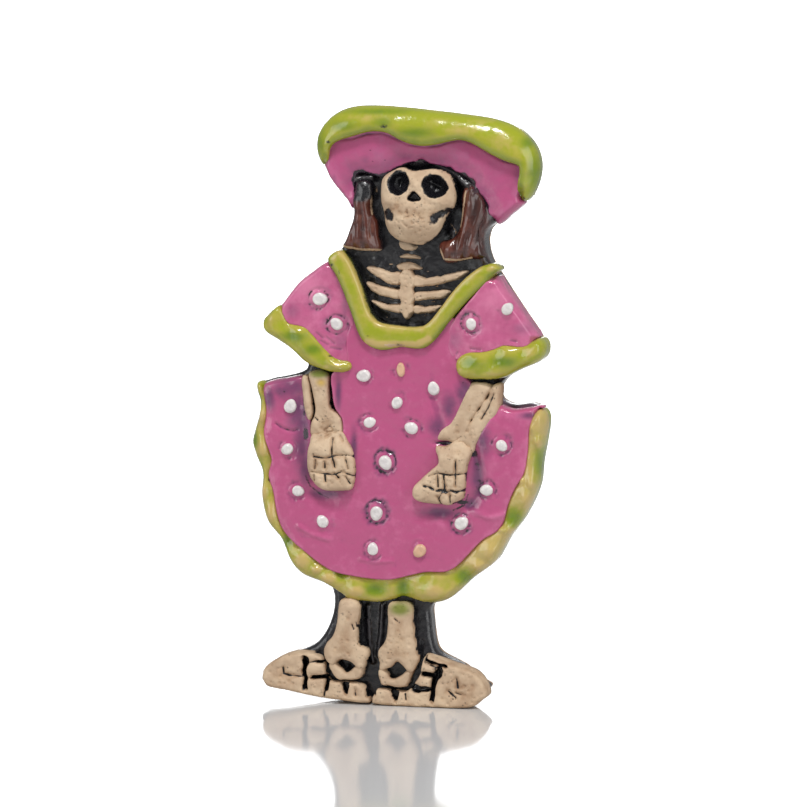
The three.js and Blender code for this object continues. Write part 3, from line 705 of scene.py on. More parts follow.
CLAY_GROUP = fired_clay_group()
BRUSHED_GROUP = brushed_group()
WEAR_SHADE_AND_GLINT_GROUP = wear_shade_and_glint_group()
FINISH = {
    "clay": clay_finish("fired_clay_finish"),
    # The black glaze's dab colour is the violet of its painted shade.
    "black_glaze": glaze(
        "black_glaze_finish", linear(21, 20, 24), linear(46, 43, 46), linear(10, 10, 13),
        linear(112, 84, 108), linear(84, 48, 42), 420.0, bump=0.00013),
    # The pink glaze's dab colour is the violet of its painted shade and of its scratched lines and
    # dot halos.
    "pink_glaze": glaze(
        "pink_glaze_finish", linear(186, 84, 128), linear(200, 102, 144), linear(112, 54, 98),
        linear(110, 62, 98), linear(214, 122, 158), 230.0, linear(38, 24, 38)),
    # The lime glaze's dab colour is its green dabs and the painted shade along the hat's wave.
    "lime_glaze": glaze(
        "lime_glaze_finish", linear(154, 161, 32), linear(172, 165, 60), linear(100, 120, 20),
        linear(98, 128, 18), linear(196, 170, 102), 240.0, linear(38, 40, 26)),
    "brown_glaze": glaze(
        "brown_glaze_finish", linear(66, 32, 26), linear(92, 48, 38), linear(34, 18, 17),
        linear(26, 21, 22), linear(138, 88, 68), 420.0),
    "white_glaze": glaze(
        "white_glaze_finish", linear(214, 208, 206), linear(230, 226, 222), linear(168, 156, 164),
        linear(214, 172, 140), linear(236, 232, 230), 600.0),
}


# ---- Parts ----
def plain(h, **marks):
    return h, marks


def back_surface(P, d):
    """Flat back with rounded edges and a few hand marks"""
    edge = 1.1 * (1.0 - arch((d + 0.02) / 1.1))
    worn = 0.05 * fade(rough(P, 6.0, 71), 0.1, 0.8) + 0.02 * fade(rough(P, 1.6, 74), 0.0, 0.8)
    return edge + worn * fade(d, 0.5, 2.5)


def back_marks(flat, high, bare):
    """The black runs over the front edge and stops unevenly down the sides"""
    limit = 1.6 + 0.7 * rough(flat, 3.5, 81)
    return np.maximum(bare, 1.0 - fade(high, limit - 0.35, limit + 0.35))


# Painted glints on the black ground: streaks between the ribs, under the brim and beside the jaw
GLINT_STREAKS = [
    [(-4.9, 54.3), (-4.2, 53.0)], [(-4.4, 52.2), (-3.8, 51.2)], [(-3.7, 50.6), (-3.2, 49.5)],
    [(-2.6, 49.1), (-1.4, 48.8)], [(3.0, 52.6), (5.8, 52.8)], [(3.2, 50.7), (5.4, 50.9)],
    [(2.6, 49.0), (4.2, 49.1)], [(-2.6, 51.1), (-0.6, 50.9)], [(3.6, 54.6), (6.6, 55.0)],
    [(-2.0, 55.6), (-0.6, 55.3)], [(-2.3, 67.3), (-0.9, 67.9)], [(0.4, 68.4), (3.6, 68.5)],
    [(-6.0, 65.9), (-4.4, 66.2)], [(7.0, 66.9), (8.1, 66.2)],
    [(6.7, 60.6), (7.3, 59.8), (7.7, 58.8)], [(-2.7, 65.2), (-2.8, 64.4)],
    [(-2.5, 60.8), (-2.2, 59.2)], [(6.9, 59.4), (7.2, 58.9)],
]


CROWN = [
    [(-6.0, 65.8), (-3.4, 66.2)],
    [(-1.6, 67.6), (1.2, 68.3), (4.6, 68.2), (7.6, 66.6), (9.6, 64.6)],
]
LEG_RIDGES = [[(-3.9, 12.3), (-3.7, 8.0), (-3.2, 5.2)], [(-2.0, 12.6), (-2.2, 9.0), (-2.6, 6.0)]]


def slab(P, d):
    """Black ground between the parts; to the right of the head it is the side of the hair"""
    head = spot(P, (3.0, 61.5), 5.5, 6.5)
    chest = spot(P, (1.0, 52.0), 5.5, 4.6)
    legs = spot(P, (-2.5, 9.0), 4.0, 5.0)
    combed = np.maximum(spot(P, (11.0, 59.4), 1.5, 4.4), spot(P, (9.6, 63.6), 1.3, 1.8))
    streaks = np.sin((P[:, 0] + 0.25 * P[:, 1] + 0.3 * noise(P, 2.0, 8)) * 2 * math.pi / 0.8)
    crown = lines(P, CROWN, 0.7)
    h = 4.0 + 0.4 * head + 0.3 * chest + 0.25 * legs + 1.8 * combed + 0.8 * crown
    h += (0.09 + 0.2 * chest + 0.2 * crown + 0.1 * legs) * rough(P, 1.3, 3)
    h += 0.06 * combed * streaks
    h += (0.05 + 0.05 * chest) * rough(P, 0.6, 5)
    h += 0.42 * lines(P, LEG_RIDGES, 0.27)
    h += 0.6 * spot(P, (7.2, 59.4), 0.8, 1.5) * (1 + 0.8 * rough(P, 0.8, 6))
    # painted shade: violet in the recess of the black ground beside the right sleeve and the skirt
    violet_shade = spots(P, [(17.0, 37.8, 3.0, 1.3), (13.6, 38.4, 1.2, 1.0), (15.0, 45.0, 4.0, 2.0)])
    brown = combed * (0.85 + 0.15 * streaks)
    # painted glints: pale streaks for light catching the glossy black, put on through the bare
    # mark
    painted_glints = 0.62 * lines(P, GLINT_STREAKS, 0.13) * fade(noise(P, 0.5, 9), -0.5, 0.5)
    sole = 1.0 - fade(P[:, 1], 0.15, 0.7)
    ledge = line(P, [(6.2, 6.9), (8.0, 6.0), (9.8, 5.0), (11.2, 3.6)], 0.45)
    return plain(
        h, dab=0.95 * violet_shade, pale=0.85 * brown, bare=most(0.9 * sole, 0.85 * ledge, painted_glints)
    )


HAT_WAVE = [
    (-9.0, 68.8), (-8.7, 69.9), (-7.8, 70.9), (-5.7, 71.6), (-3.1, 72.3), (-0.8, 72.1),
    (1.0, 71.1), (3.4, 70.5), (5.7, 70.8), (8.0, 71.3), (9.8, 70.9), (12.3, 69.5), (14.3, 68.6),
    (16.0, 68.0), (16.0, 66.3), (15.7, 64.4),
]


def own_edge(node):
    """The runs of a part's outline that lie on the edge of the whole figure"""
    A, B = runs([round_off(round_off(loop)) for loop in face_loops(node)])
    outside = WHOLE.at((A + B) / 2) < 0.45
    return A[outside], B[outside]


HAT_RIM = own_edge("hat_edge_roll")


def hat_roll(P, d):
    """A soft rounded roll, highest along its middle"""
    # painted shade: along the wave, where the roll curves down to the brim, it is darker green and
    # a little dark
    edge = line(P, HAT_WAVE, 0.6)
    outer = nearest(P, *HAT_RIM)[0] + 0.1
    h = 4.3 + 2.75 * arch(outer / 3.3) - 0.75 * (1 - arch((d + 0.1) / 1.7)) * fade(outer, 1.2, 2.6)
    h += 0.17 * rough(P, 3.4, 11) + 0.03 * rough(P, 1.2, 14)
    green = spots(P, [
        (-9.6, 70.4, 1.2, 2.4), (2.6, 71.8, 3.4, 0.9), (17.6, 66.8, 1.0, 3.2),
        (-6.4, 72.6, 2.4, 0.9), (-1.4, 73.0, 1.6, 0.9), (-2.0, 74.4, 5.0, 0.5),
        (16.6, 70.6, 1.0, 1.0),
    ])
    tan = spots(P, [
        (8.6, 72.2, 3.2, 1.0), (13.4, 70.6, 2.2, 1.3), (-3.6, 73.6, 2.4, 0.6),
        (11.0, 73.2, 2.0, 0.5)
    ])
    smudge = spots(P, [(-8.3, 70.6, 0.5, 0.3), (-1.3, 72.6, 0.9, 0.4), (16.1, 63.8, 0.5, 0.6)])
    smudge = np.maximum(0.6 * smudge, 0.25 * edge)
    return plain(h, dab=np.maximum(0.62 * green, 0.5 * edge), pale=0.5 * tan, stain=smudge)


SCRIBED = [
    (-7.5, 70.9), (-5.5, 71.0), (-3.7, 71.6), (-1.7, 71.7), (0.1, 71.0), (1.6, 70.3), (3.5, 70.0),
    (5.4, 70.2), (6.9, 70.7), (8.3, 70.9), (10.1, 70.4), (12.0, 69.2), (13.7, 68.3), (15.5, 68.1),
]


HAIRLINE = [
    (-6.2, 64.5), (-5.3, 67.0), (-1.8, 66.7), (1.2, 68.6), (5.0, 68.3), (8.6, 67.0), (11.0, 64.2),
    (12.6, 60.8),
]
BRIM_SPECKS = [
    (-1.3, 68.4, 0.28, 0.15), (-0.3, 69.0, 0.24, 0.16), (11.7, 63.6, 0.2, 0.16),
    (-3.2, 69.6, 0.15, 0.12), (-4.0, 70.0, 0.12, 0.1), (-2.9, 68.2, 0.3, 0.14),
    (-3.3, 67.2, 0.2, 0.2), (0.4, 69.6, 0.12, 0.1),
]


def brim(P, d):
    """Pink underside of the hat, dented and dark along the hair and scribed beside the roll"""
    low = line(P, HAIRLINE, 1.3)
    h = 5.7 - 0.5 * low + 0.12 * rough(P, 3.5, 21) + 0.04 * rough(P, 1.1, 24)
    cut = line(P, SCRIBED, 0.14) * (0.75 + 0.35 * noise(P, 1.2, 27))
    h -= 0.2 * cut
    inner = (1 - fade(P[:, 1], 68.9, 69.6)) * fade(WHOLE.at(P), 1.1, 2.2)
    uneven = 0.24 * noise(P, 1.1, 29) + 0.08 * noise(P, 0.4, 30)
    dark = (1 - fade(d + uneven, 0.05, 0.6)) * inner
    h -= 0.2 * dark
    specks = (0.65 + 0.5 * noise(P, 0.3, 25)) * spots(P, BRIM_SPECKS)
    smudge = spots(P, [
        (-3.9, 68.4, 1.0, 1.0), (-7.9, 66.0, 0.6, 0.8), (15.4, 66.5, 0.8, 1.8),
        (-8.6, 68.6, 0.5, 1.2), (-5.0, 67.4, 1.6, 0.7), (10.6, 66.0, 0.9, 2.0)
    ])
    shade = 0.24 + 0.2 * low * inner
    light = spots(P, [(-5.6, 69.6, 1.6, 1.0), (13.6, 65.4, 1.2, 1.8)])
    dab = most(0.8 * cut, 0.45 * smudge, shade, 0.8 * dark)
    return plain(h, dab=dab, pale=0.2 * light, stain=most(dark, 0.85 * specks, 0.42 * cut))


EYES = (
    [(-0.6, 65.3), (-0.5, 66.0), (0.0, 66.7), (0.8, 67.0), (1.5, 66.8), (2.1, 66.0), (2.0, 65.3),
     (1.5, 64.5), (0.8, 64.1), (-0.1, 64.5)],
    [(3.8, 65.7), (4.2, 66.4), (5.0, 66.7), (5.9, 66.4), (6.6, 65.8), (6.8, 65.1), (6.4, 64.3),
     (5.5, 64.0), (4.8, 64.0), (4.2, 64.7)],
)
NOSE = [(2.8, 64.7), (3.3, 64.1), (3.8, 63.6), (2.8, 63.4), (1.9, 63.6), (2.3, 64.2)]


CHEEKS = (
    [(-1.1, 62.4), (-0.3, 62.6), (0.2, 62.0), (0.2, 61.4), (-0.3, 60.9), (-1.1, 61.1)],
    [(4.6, 60.5), (5.3, 60.6), (5.9, 61.1), (6.6, 61.8), (7.3, 62.0), (7.0, 62.7), (6.0, 62.3),
     (5.4, 62.1), (4.9, 61.5)],
)
SCORES = (
    [(2.0, 62.4), (2.02, 61.9)], [(0.6, 61.1), (0.9, 60.8)], [(2.2, 60.1), (2.7, 60.2)],
    [(1.7, 61.4), (2.2, 61.5)], [(0.9, 60.3), (1.0, 60.0)], [(3.2, 60.8), (3.4, 60.6)],
    [(2.6, 60.9), (2.65, 60.6)], [(1.4, 60.8), (1.7, 60.5)], [(3.6, 61.5), (3.7, 61.3)],
)


SOCKET_SIDES = [
    [(-1.2, 64.6), (-0.7, 65.4)], [(2.2, 64.9), (2.4, 65.8)], [(3.5, 65.9), (3.5, 64.9)],
]


def skull(P, d):
    """A plain folk-style skull: round brow, two sockets, a small nose hole and a stubby jaw"""
    ragged = 0.1 * noise(P, 0.5, 36) + 0.1 * noise(P, 1.3, 38)
    sunk, stain = np.zeros(len(P)), np.zeros(len(P))
    for eye in EYES:
        inside = inside_of(P, eye, 2) + ragged
        sunk += 1.2 * fade(inside, -0.35, 0.5) + 1.1 * fade(inside, 0.0, 1.4)
        stain = np.maximum(stain, 0.98 * fade(inside, -0.6, 0.15))
    nose = inside_of(P, NOSE)
    sunk += 0.9 * fade(nose, -0.2, 0.2)
    stain = np.maximum(stain, fade(nose, -0.25, 0.08))
    open_bone = 1 - np.minimum(sunk, 1.0)
    for cheek in CHEEKS:
        inside = inside_of(P, cheek) + 1.6 * ragged
        sunk += 0.3 * fade(inside, -0.5, 0.5)
        stain = np.maximum(stain, 0.8 * fade(inside, -0.6, 0.3))
    h = (
        5.95 + 2.15 * arch(d / 4.2) - sunk
        + open_bone * (0.09 * rough(P, 1.5, 31) + 0.05 * rough(P, 0.6, 35))
    )
    h += 0.4 * spot(P, (2.8, 66.0), 3.6, 1.1) + 0.46 * spot(P, (2.3, 60.6), 2.5, 1.5)
    h += 0.28 * spot(P, (6.1, 63.3), 1.1, 0.6) + 0.26 * spot(P, (-0.5, 63.4), 0.9, 0.6)
    h += 0.25 * spot(P, (2.9, 62.7), 2.0, 0.6) + 0.2 * spot(P, (2.95, 65.3), 0.5, 0.9)
    scored = lines(P, SCORES, 0.14) * (0.75 + 0.4 * noise(P, 0.5, 34))
    holes = (
        pits(P, 0.55, 33, 0.6) * fade(d, 0.2, 0.8) * (0.55 + 0.6 * spot(P, (2.2, 60.6), 3.0, 1.8))
        * open_bone
    )
    h -= 0.17 * scored + 0.15 * holes
    grime = 0.75 * line(P, [(-1.6, 66.6), (0.2, 67.9), (2.4, 67.8), (4.6, 67.9), (7.3, 67.0)], 0.4)
    side = 0.6 * (1 - fade(d + ragged, 0.0, 0.35))
    mouth = 0.42 * spot(P, (1.6, 60.9), 1.7, 0.9) * fade(rough(P, 0.5, 37), -0.1, 0.6)
    jaw = 0.45 * spot(P, (3.6, 58.3), 2.2, 0.5)
    between = 0.3 * lines(P, SOCKET_SIDES, 0.25)
    stain = most(stain, 0.55 * scored, 0.5 * holes, grime, side, jaw, mouth, between)
    return plain(h, stain=stain, rim=np.zeros(len(P)))


def strands(P, lean, width, seed):
    """Combed clay hair, as waves across the lock"""
    sway = P[:, 0] + lean * (P[:, 1] - 60.0) + 0.35 * noise(P, 2.6, seed)
    return np.sin(sway * 2 * math.pi / width)


def lock_left(P, d):
    wave = strands(P, 0.12, 1.3, 41)
    fine = strands(P, 0.1, 0.55, 42)
    top = fade(P[:, 1] + 0.5 * noise(P, 1.5, 44), 62.6, 64.2)
    h = (
        5.3 + 1.1 * arch(d / 1.7) + (1 - 0.9 * top) * (0.1 * wave + 0.02 * fine)
        + 0.1 * rough(P, 1.4, 43)
    )
    h += 0.3 * spot(P, (-3.6, 58.6), 1.8, 1.0) - 0.5 * fade(P[:, 1], 63.0, 65.5)
    # the bare-clay line down the edge beside the skull is partly a painted highlight; the line
    # along the bottom is bare clay
    tan = np.maximum(0.9 * line(P, [(-6.9, 57.7), (-4.6, 57.3), (-2.2, 57.25)], 0.2),
                     0.7 * line(P, [(-3.0, 65.0), (-3.2, 62.6), (-3.0, 61.6)], 0.14))
    light = spots(P, [
        (-4.4, 61.0, 0.4, 1.4), (-2.9, 60.0, 0.35, 0.9), (-3.2, 58.8, 0.5, 0.8),
        (-5.2, 58.4, 0.5, 0.5)
    ])
    edge = 0.6 * (1 - fade(d, 0.0, 0.2)) * fade(P[:, 1], 57.9, 58.6)
    return plain(h, dab=0.95 * top, pale=0.4 * light, bare=tan, stain=np.maximum(edge, 0.8 * top))


def lock_right(P, d):
    wave = strands(P, -0.22, 1.4, 47)
    fine = strands(P, -0.2, 0.55, 48)
    h = 5.2 + 1.1 * arch(d / 2.0) + 0.1 * wave + 0.02 * fine + 0.1 * rough(P, 1.4, 49)
    h += 0.3 * spot(P, (7.0, 57.4), 1.8, 1.0) - 0.2 * fade(P[:, 0], 9.5, 11.2)
    side = fade(P[:, 0] + 0.12 * (P[:, 1] - 60) + 0.3 * noise(P, 1.2, 50), 9.3, 10.4)
    # the bare-clay line down the edge beside the skull is partly a painted highlight; the line
    # along the bottom is bare clay
    tan = np.maximum(
        0.85 * line(P, [(5.7, 57.4), (6.2, 56.2), (8.0, 56.1), (9.6, 56.4)], 0.17),
        0.75 * line(P, [(8.9, 64.6), (8.5, 62.0), (8.2, 60.2)], 0.16)
    )
    light = spots(P, [(8.9, 62.0, 0.35, 1.6), (8.3, 59.8, 0.4, 1.2), (6.9, 57.9, 0.8, 0.5)])
    edge = (
        0.5 * (1 - fade(d, 0.0, 0.2)) * fade(P[:, 1], 57.0, 58.0) * (1 - fade(P[:, 0], 9.6, 10.2))
    )
    return plain(h, dab=0.5 * side, pale=0.4 * light, bare=tan, stain=edge)


def bone(top, seed, round_over=0.5, edge=0.5):
    """A small rounded bone with pitted clay and uneven sides"""

    def shape(P, d):
        holes = pits(P, 0.55, seed, 0.35) * fade(d, 0.1, 0.5)
        ragged = d + 0.12 * noise(P, 0.45, seed + 1) + 0.1 * noise(P, 1.1, seed + 2)
        h = top + 0.3 * arch(d / round_over) + 0.09 * rough(P, 0.9, seed + 3) - 0.1 * holes
        h -= 0.5 * (1 - fade(ragged, 0.0, 0.24))
        grime = np.maximum(edge * (1 - fade(ragged, -0.05, 0.3)), 0.4 * holes)
        return plain(h, stain=np.maximum(grime, 0.36 * fade(rough(P, 0.8, seed + 6), 0.3, 0.8)))

    return shape


TRIM_INNER = [
    (-6.9, 57.2), (-5.6, 55.7), (-4.7, 53.7), (-3.9, 51.5), (-3.2, 49.5), (-2.1, 48.3),
    (0.0, 47.9), (3.6, 47.8), (5.0, 49.0), (7.1, 51.8), (8.9, 53.8), (10.9, 55.3),
]
TRIM_OUTER = [
    (-8.6, 56.0), (-7.5, 54.2), (-6.5, 52.0), (-5.3, 48.8), (-4.2, 46.1), (-2.3, 44.9),
    (0.8, 45.3), (3.9, 45.2), (5.5, 46.6), (9.0, 50.8), (12.9, 54.6),
]


def neck_trim(P, d):
    """A narrow rounded band, greener outside and worn to the clay at its lowest point"""
    h = 6.45 + 0.75 * arch(d / 1.15) + 0.07 * rough(P, 1.8, 51)
    h += 0.12 * line(P, TRIM_INNER, 0.5)
    outer = line(P, TRIM_OUTER, 0.7)
    inner = line(P, TRIM_INNER, 0.8)
    low = line(P, [(-3.4, 45.9), (-1.8, 45.6), (0.6, 45.7), (3.0, 45.7), (4.4, 46.4)], 0.5)
    ends = spots(P, [(-7.6, 56.2, 0.7, 0.6), (12.4, 55.2, 0.8, 0.5)])
    smudge = spots(P, [
        (0.6, 45.6, 0.45, 0.25), (-7.9, 55.4, 0.4, 0.4), (-3.2, 46.6, 0.3, 0.2),
        (-6.9, 54.6, 0.25, 0.5)
    ])
    seam = 0.4 * (1 - fade(d, 0.0, 0.22)) * (1 - low)
    # the pale along the inner edge is thin glaze and partly a painted highlight
    dab, pale = 0.62 * np.maximum(outer - low, 0), most(0.66 * inner, 0.95 * low, 0.6 * ends)
    bare = 0.62 * spot(P, (0.2, 45.5), 2.2, 0.35)
    return plain(h, dab=dab, pale=pale, bare=bare, stain=np.maximum(0.6 * smudge, seam))


RINGS = [
    (-9.7, 51.1, 1.35, 0.9), (-7.4, 47.9, 1.3, 0.9), (9.7, 48.4, 1.3, 0.85),
    (-1.2, 30.9, 1.45, 1.0), (-2.3, 24.5, 1.5, 1.0), (8.4, 23.3, 1.3, 0.8),
    (11.8, 27.6, 1.2, 0.75), (13.5, 33.3, 1.35, 0.7), (-3.3, 35.7, 1.2, 0.6),
    (2.3, 35.1, 1.25, 0.6), (-13.7, 32.2, 1.2, 0.6), (-2.8, 19.7, 1.3, 0.55),
    (0.8, 42.4, 1.0, 0.4), (-3.8, 41.6, 1.0, 0.45), (-12.6, 26.9, 1.2, 0.5),
    (14.3, 50.1, 1.1, 0.35), (-9.2, 23.0, 1.3, 0.3), (5.0, 40.0, 1.1, 0.35), (0.4, 38.4, 1.1, 0.4),
    (-13.5, 37.4, 1.1, 0.3), (3.3, 19.9, 1.15, 0.3),
]


def scribed_rings(P, spread=1.0):
    """Rough rings scratched round the dots, some of them broken"""
    total = np.zeros(len(P))
    for k, (x, z, radius, force) in enumerate(RINGS):
        dx, dz = P[:, 0] - x, P[:, 1] - z
        angle = np.arctan2(dz, dx)
        out = radius - 0.08 + 0.05 * np.sin(2 * angle + k) + 0.02 * np.sin(3 * angle + 2.3 * k)
        out += 0.06 * noise(P, 0.5, 62)
        width = spread * (0.22 + 0.09 * np.sin(2 * angle + 1.7 * k) + 0.07 * noise(P, 0.5, 63))
        gaps = fade(np.sin(angle * 1.5 + 2.1 * k) + 2.4 * force, 0.3, 1.5)
        total = np.maximum(
            total, force * gaps * np.exp(-(((np.hypot(dx, dz) - out) / width) ** 2))
        )
    return total * (0.62 + 0.45 * fade(noise(P, 0.3, 65), -0.45, 0.35))


def round_dots(P):
    """The cloth is raised a little round every dot"""
    return spots(P, [(x, z, radius * 0.75, radius * 0.75) for x, z, radius, _ in RINGS])


CLOTH_LUMPS = [  # height, soft width, course
    (-0.4, 0.8, [(9.8, 33.6), (10.4, 30.4), (10.8, 27.4), (9.4, 25.6)]),
    (-0.25, 0.7, [(-12.2, 38.6), (-12.0, 34.6), (-11.6, 31.0), (-10.8, 28.6)]),
    (-0.2, 0.7, [(4.8, 39.4), (5.6, 36.4), (6.4, 34.4)]),
    (0.2, 0.35, [(-12.4, 22.4), (-10.6, 21.4), (-8.6, 20.9)]),
    (0.14, 0.3, [(-4.4, 18.5), (-2.4, 18.2), (-0.4, 18.4)]),
    (0.18, 0.4, [(9.8, 25.0), (12.0, 24.2), (14.0, 24.6)]),
    (0.12, 0.35, [(12.0, 36.4), (11.4, 34.6), (11.8, 33.0)]),
]
# Painted shadows under the hands
HAND_SHADOWS = [
    [(-11.6, 29.0), (-11.0, 27.6), (-9.8, 26.6), (-8.6, 26.1)],
    [(9.3, 27.0), (8.8, 25.6), (7.4, 25.0)],
]


def dress(P, d):
    turned_in = 1 - fade(WHOLE.at(P), 0.6, 2.4)
    h = (
        6.15 + 0.3 * spot(P, (0.0, 32.0), 11.0, 12.0) + 0.15 * rough(P, 4.5, 61)
        + 0.05 * rough(P, 1.3, 64)
    )
    h -= 0.4 * spot(P, (-10.2, 26.6), 2.6, 1.2, -25) + 0.35 * spot(P, (5.6, 24.6), 2.8, 0.9, 8)
    for rise, width, course in CLOTH_LUMPS:
        h += rise * line(P, course, width)
    crack = line(P, [(-15.4, 35.3), (-14.4, 34.7), (-13.2, 34.4), (-12.6, 34.6)], 0.24)
    h -= 0.2 * crack
    h -= 0.35 * fade(1.8 - d, 0.0, 1.8) * turned_in
    h += 0.07 * round_dots(P)
    ring = scribed_rings(P)
    h -= 0.26 * ring
    # painted shade: violet over the pink in the hollows beside the arms and hands
    violet_shade = spots(P, [
        (-13.4, 40.0, 3.2, 1.5), (-11.9, 36.0, 1.5, 5.0), (-11.6, 30.0, 1.0, 3.4),
        (9.0, 40.2, 1.4, 1.4), (7.0, 38.0, 1.3, 2.2), (5.4, 35.4, 1.3, 1.8),
        (10.5, 29.6, 1.1, 4.4), (11.2, 33.6, 1.2, 2.4), (-14.0, 39.6, 2.6, 1.6),
        (-12.6, 37.0, 1.4, 3.2), (-12.0, 32.6, 1.3, 3.8), (8.6, 39.6, 1.2, 1.8),
        (-9.0, 26.6, 2.6, 0.8), (5.8, 24.6, 2.6, 0.8), (-16.2, 38.6, 1.0, 2.0),
        (9.8, 25.8, 1.2, 1.0), (-7.2, 39.4, 0.5, 2.4), (-5.2, 32.6, 0.5, 2.6),
        (17.2, 37.0, 1.6, 0.5),
    ])
    # painted shadow under each hand
    shadow_under_hand = lines(P, HAND_SHADOWS, 0.2)
    wrist = spots(P, [
        (10.0, 32.1, 0.6, 0.55), (6.3, 33.35, 1.3, 0.34), (-11.5, 34.2, 0.45, 0.9),
        (8.6, 26.0, 0.9, 0.3)
    ])
    # painted shade in the hollow to the right of the right hand
    deep = (
        line(P, [(10.2, 32.2), (10.6, 30.0), (10.7, 27.2)], 0.5)
        * fade(rough(P, 0.7, 66), -0.35, 0.5)
    )
    # painted shade in the crease to the left of the left arm
    crease_shade = (
        line(P, [(-11.9, 40.6), (-11.7, 37.6), (-11.6, 34.4)], 0.22)
        * fade(rough(P, 0.9, 68), -0.5, 0.4)
    )
    specks = pits(P, 0.9, 67, 0.4) * (0.12 + 0.45 * np.minimum(violet_shade, 1.0))
    stain = most(
        0.66 * ring, 0.5 * crack, 0.62 * deep, 0.6 * crease_shade, 0.6 * shadow_under_hand, 0.95 * wrist, specks
    )
    # painted highlights on the crests of the folds
    light = spots(P, [
        (-2.2, 44.4, 2.2, 0.8), (3.8, 29.4, 1.2, 2.0), (-10.8, 21.6, 1.6, 0.4),
        (12.4, 24.4, 1.6, 0.5), (2.0, 26.0, 1.6, 2.6), (13.4, 35.6, 1.8, 0.8)
    ])
    h -= 0.5 * spot(P, (6.3, 33.35), 1.2, 0.3)
    return plain(
        h, dab=np.maximum(0.8 * violet_shade, 0.75 * scribed_rings(P, 2.2)), pale=0.4 * light,
        stain=stain
    )


GATHERS = [
    [(-9.9, 46.9), (-9.1, 46.2)], [(-9.4, 45.9), (-8.5, 45.4)], [(-8.6, 46.3), (-7.7, 45.5)],
    [(-8.1, 45.0), (-6.9, 44.8)], [(-6.2, 45.7), (-6.0, 44.8)], [(-5.9, 47.8), (-5.9, 47.1)],
    [(5.9, 46.1), (5.0, 45.4)], [(9.2, 47.4), (10.2, 46.9)], [(9.7, 45.2), (11.0, 45.1)],
    [(14.8, 46.3), (15.5, 46.2)], [(7.5, 44.0), (8.0, 44.7)],
]


def sleeve(seed):
    def shape(P, d):
        out = fade(np.abs(P[:, 0] - 0.5), 6.0, 10.5)
        h = 6.22 + 0.62 * out + 0.1 * rough(P, 3.2, seed) + 0.04 * rough(P, 1.1, seed + 3)
        cut = lines(P, GATHERS, 0.15)
        ring = scribed_rings(P)
        h += 0.07 * round_dots(P) - 0.15 * cut - 0.26 * ring
        shade = spots(P, [
            (-6.8, 45.8, 1.2, 1.6), (7.6, 46.2, 1.2, 1.6), (-13.0, 49.6, 1.2, 1.2),
            (16.2, 47.8, 1.6, 0.9), (-6.4, 49.8, 0.5, 2.4)
        ])
        # painted light: the sleeve is lightened all over through the pale mark, most on its upper
        # part
        light = spots(P, [(-10.8, 52.6, 1.6, 1.4), (12.6, 51.2, 1.8, 1.4)])
        specks = pits(P, 1.5, seed + 5, 0.25) * 0.4
        dab = most(0.6 * cut, 0.6 * shade, 0.75 * scribed_rings(P, 2.2))
        return plain(h, dab=dab, pale=0.45 + 0.4 * light, stain=np.maximum(0.66 * ring, specks))

    return shape


def cuff_left(P, d):
    h = 6.4 + 0.95 * arch(d / 1.5) + 0.14 * rough(P, 1.8, 91)
    h += 0.14 * np.sin(P[:, 0] * 2.2 + P[:, 1]) * fade(d, 0.2, 0.9)
    green = spots(P, [(-12.6, 46.4, 2.0, 0.8), (-10.2, 44.8, 1.4, 0.8)])
    pale = spots(P, [(-7.2, 42.9, 1.3, 0.6), (-15.8, 48.4, 0.9, 1.0), (-8.6, 42.7, 0.8, 0.4)])
    smudge = spots(P, [(-7.9, 44.0, 0.6, 0.3)])
    return plain(
        h, dab=0.75 * green, pale=0.6 * pale, stain=0.6 * smudge,
        bare=0.5 * spot(P, (-6.6, 42.8), 0.8, 0.4)
    )


def cuff_right(P, d):
    h = 6.4 + 0.95 * arch(d / 1.6) + 0.14 * rough(P, 1.9, 95)
    h += 0.12 * np.sin(P[:, 0] * 1.9 - P[:, 1]) * fade(d, 0.2, 0.9)
    green = spots(P, [(9.9, 43.5, 1.4, 0.9), (14.1, 43.7, 1.8, 0.8)])
    pale = spots(P, [(12.4, 42.2, 1.4, 0.4), (17.4, 44.8, 0.9, 0.9), (8.5, 42.6, 0.5, 0.6)])
    return plain(h, dab=0.75 * green, pale=0.55 * pale)


HEM_GREEN = [
    (18.4, 30.9, 0.9, 2.4), (14.9, 24.2, 1.2, 1.4), (8.7, 16.6, 1.2, 1.2), (0.9, 14.9, 0.9, 1.3),
    (-2.7, 14.6, 1.6, 0.9), (-7.1, 16.5, 0.9, 0.8), (-14.1, 20.3, 0.8, 1.0),
    (-17.6, 28.7, 0.5, 1.6), (-18.3, 33.1, 0.5, 1.2), (-17.8, 38.2, 0.6, 0.9),
    (-16.8, 39.8, 0.6, 0.6),
]
HEM_TAN = [
    (18.2, 33.6, 0.6, 0.9), (17.3, 28.4, 0.6, 0.9), (10.6, 18.0, 0.9, 0.8), (14.6, 22.4, 0.7, 0.8),
    (-10.2, 17.0, 0.9, 0.7), (17.9, 36.3, 0.9, 1.6), (16.9, 26.5, 1.0, 1.5),
    (12.1, 19.9, 1.3, 1.5), (5.1, 14.8, 1.8, 1.1), (-5.1, 14.4, 1.3, 0.9), (-8.6, 15.9, 1.3, 1.0),
    (-12.0, 18.1, 1.4, 1.3), (-16.0, 24.1, 0.8, 1.9), (-17.0, 26.6, 0.6, 1.2),
    (-17.1, 32.2, 0.7, 1.4), (-17.2, 36.3, 0.6, 1.0),
]
HEM_GLINTS = [
    (-15.9, 27.3, 0.35, 0.6), (-11.6, 19.6, 0.7, 0.3), (-8.1, 17.0, 0.6, 0.3),
    (-1.2, 16.1, 0.9, 0.25), (6.9, 17.4, 0.4, 0.3), (13.4, 22.7, 0.5, 0.4),
    (16.0, 28.9, 0.35, 0.5), (17.3, 35.4, 0.3, 0.6),
]


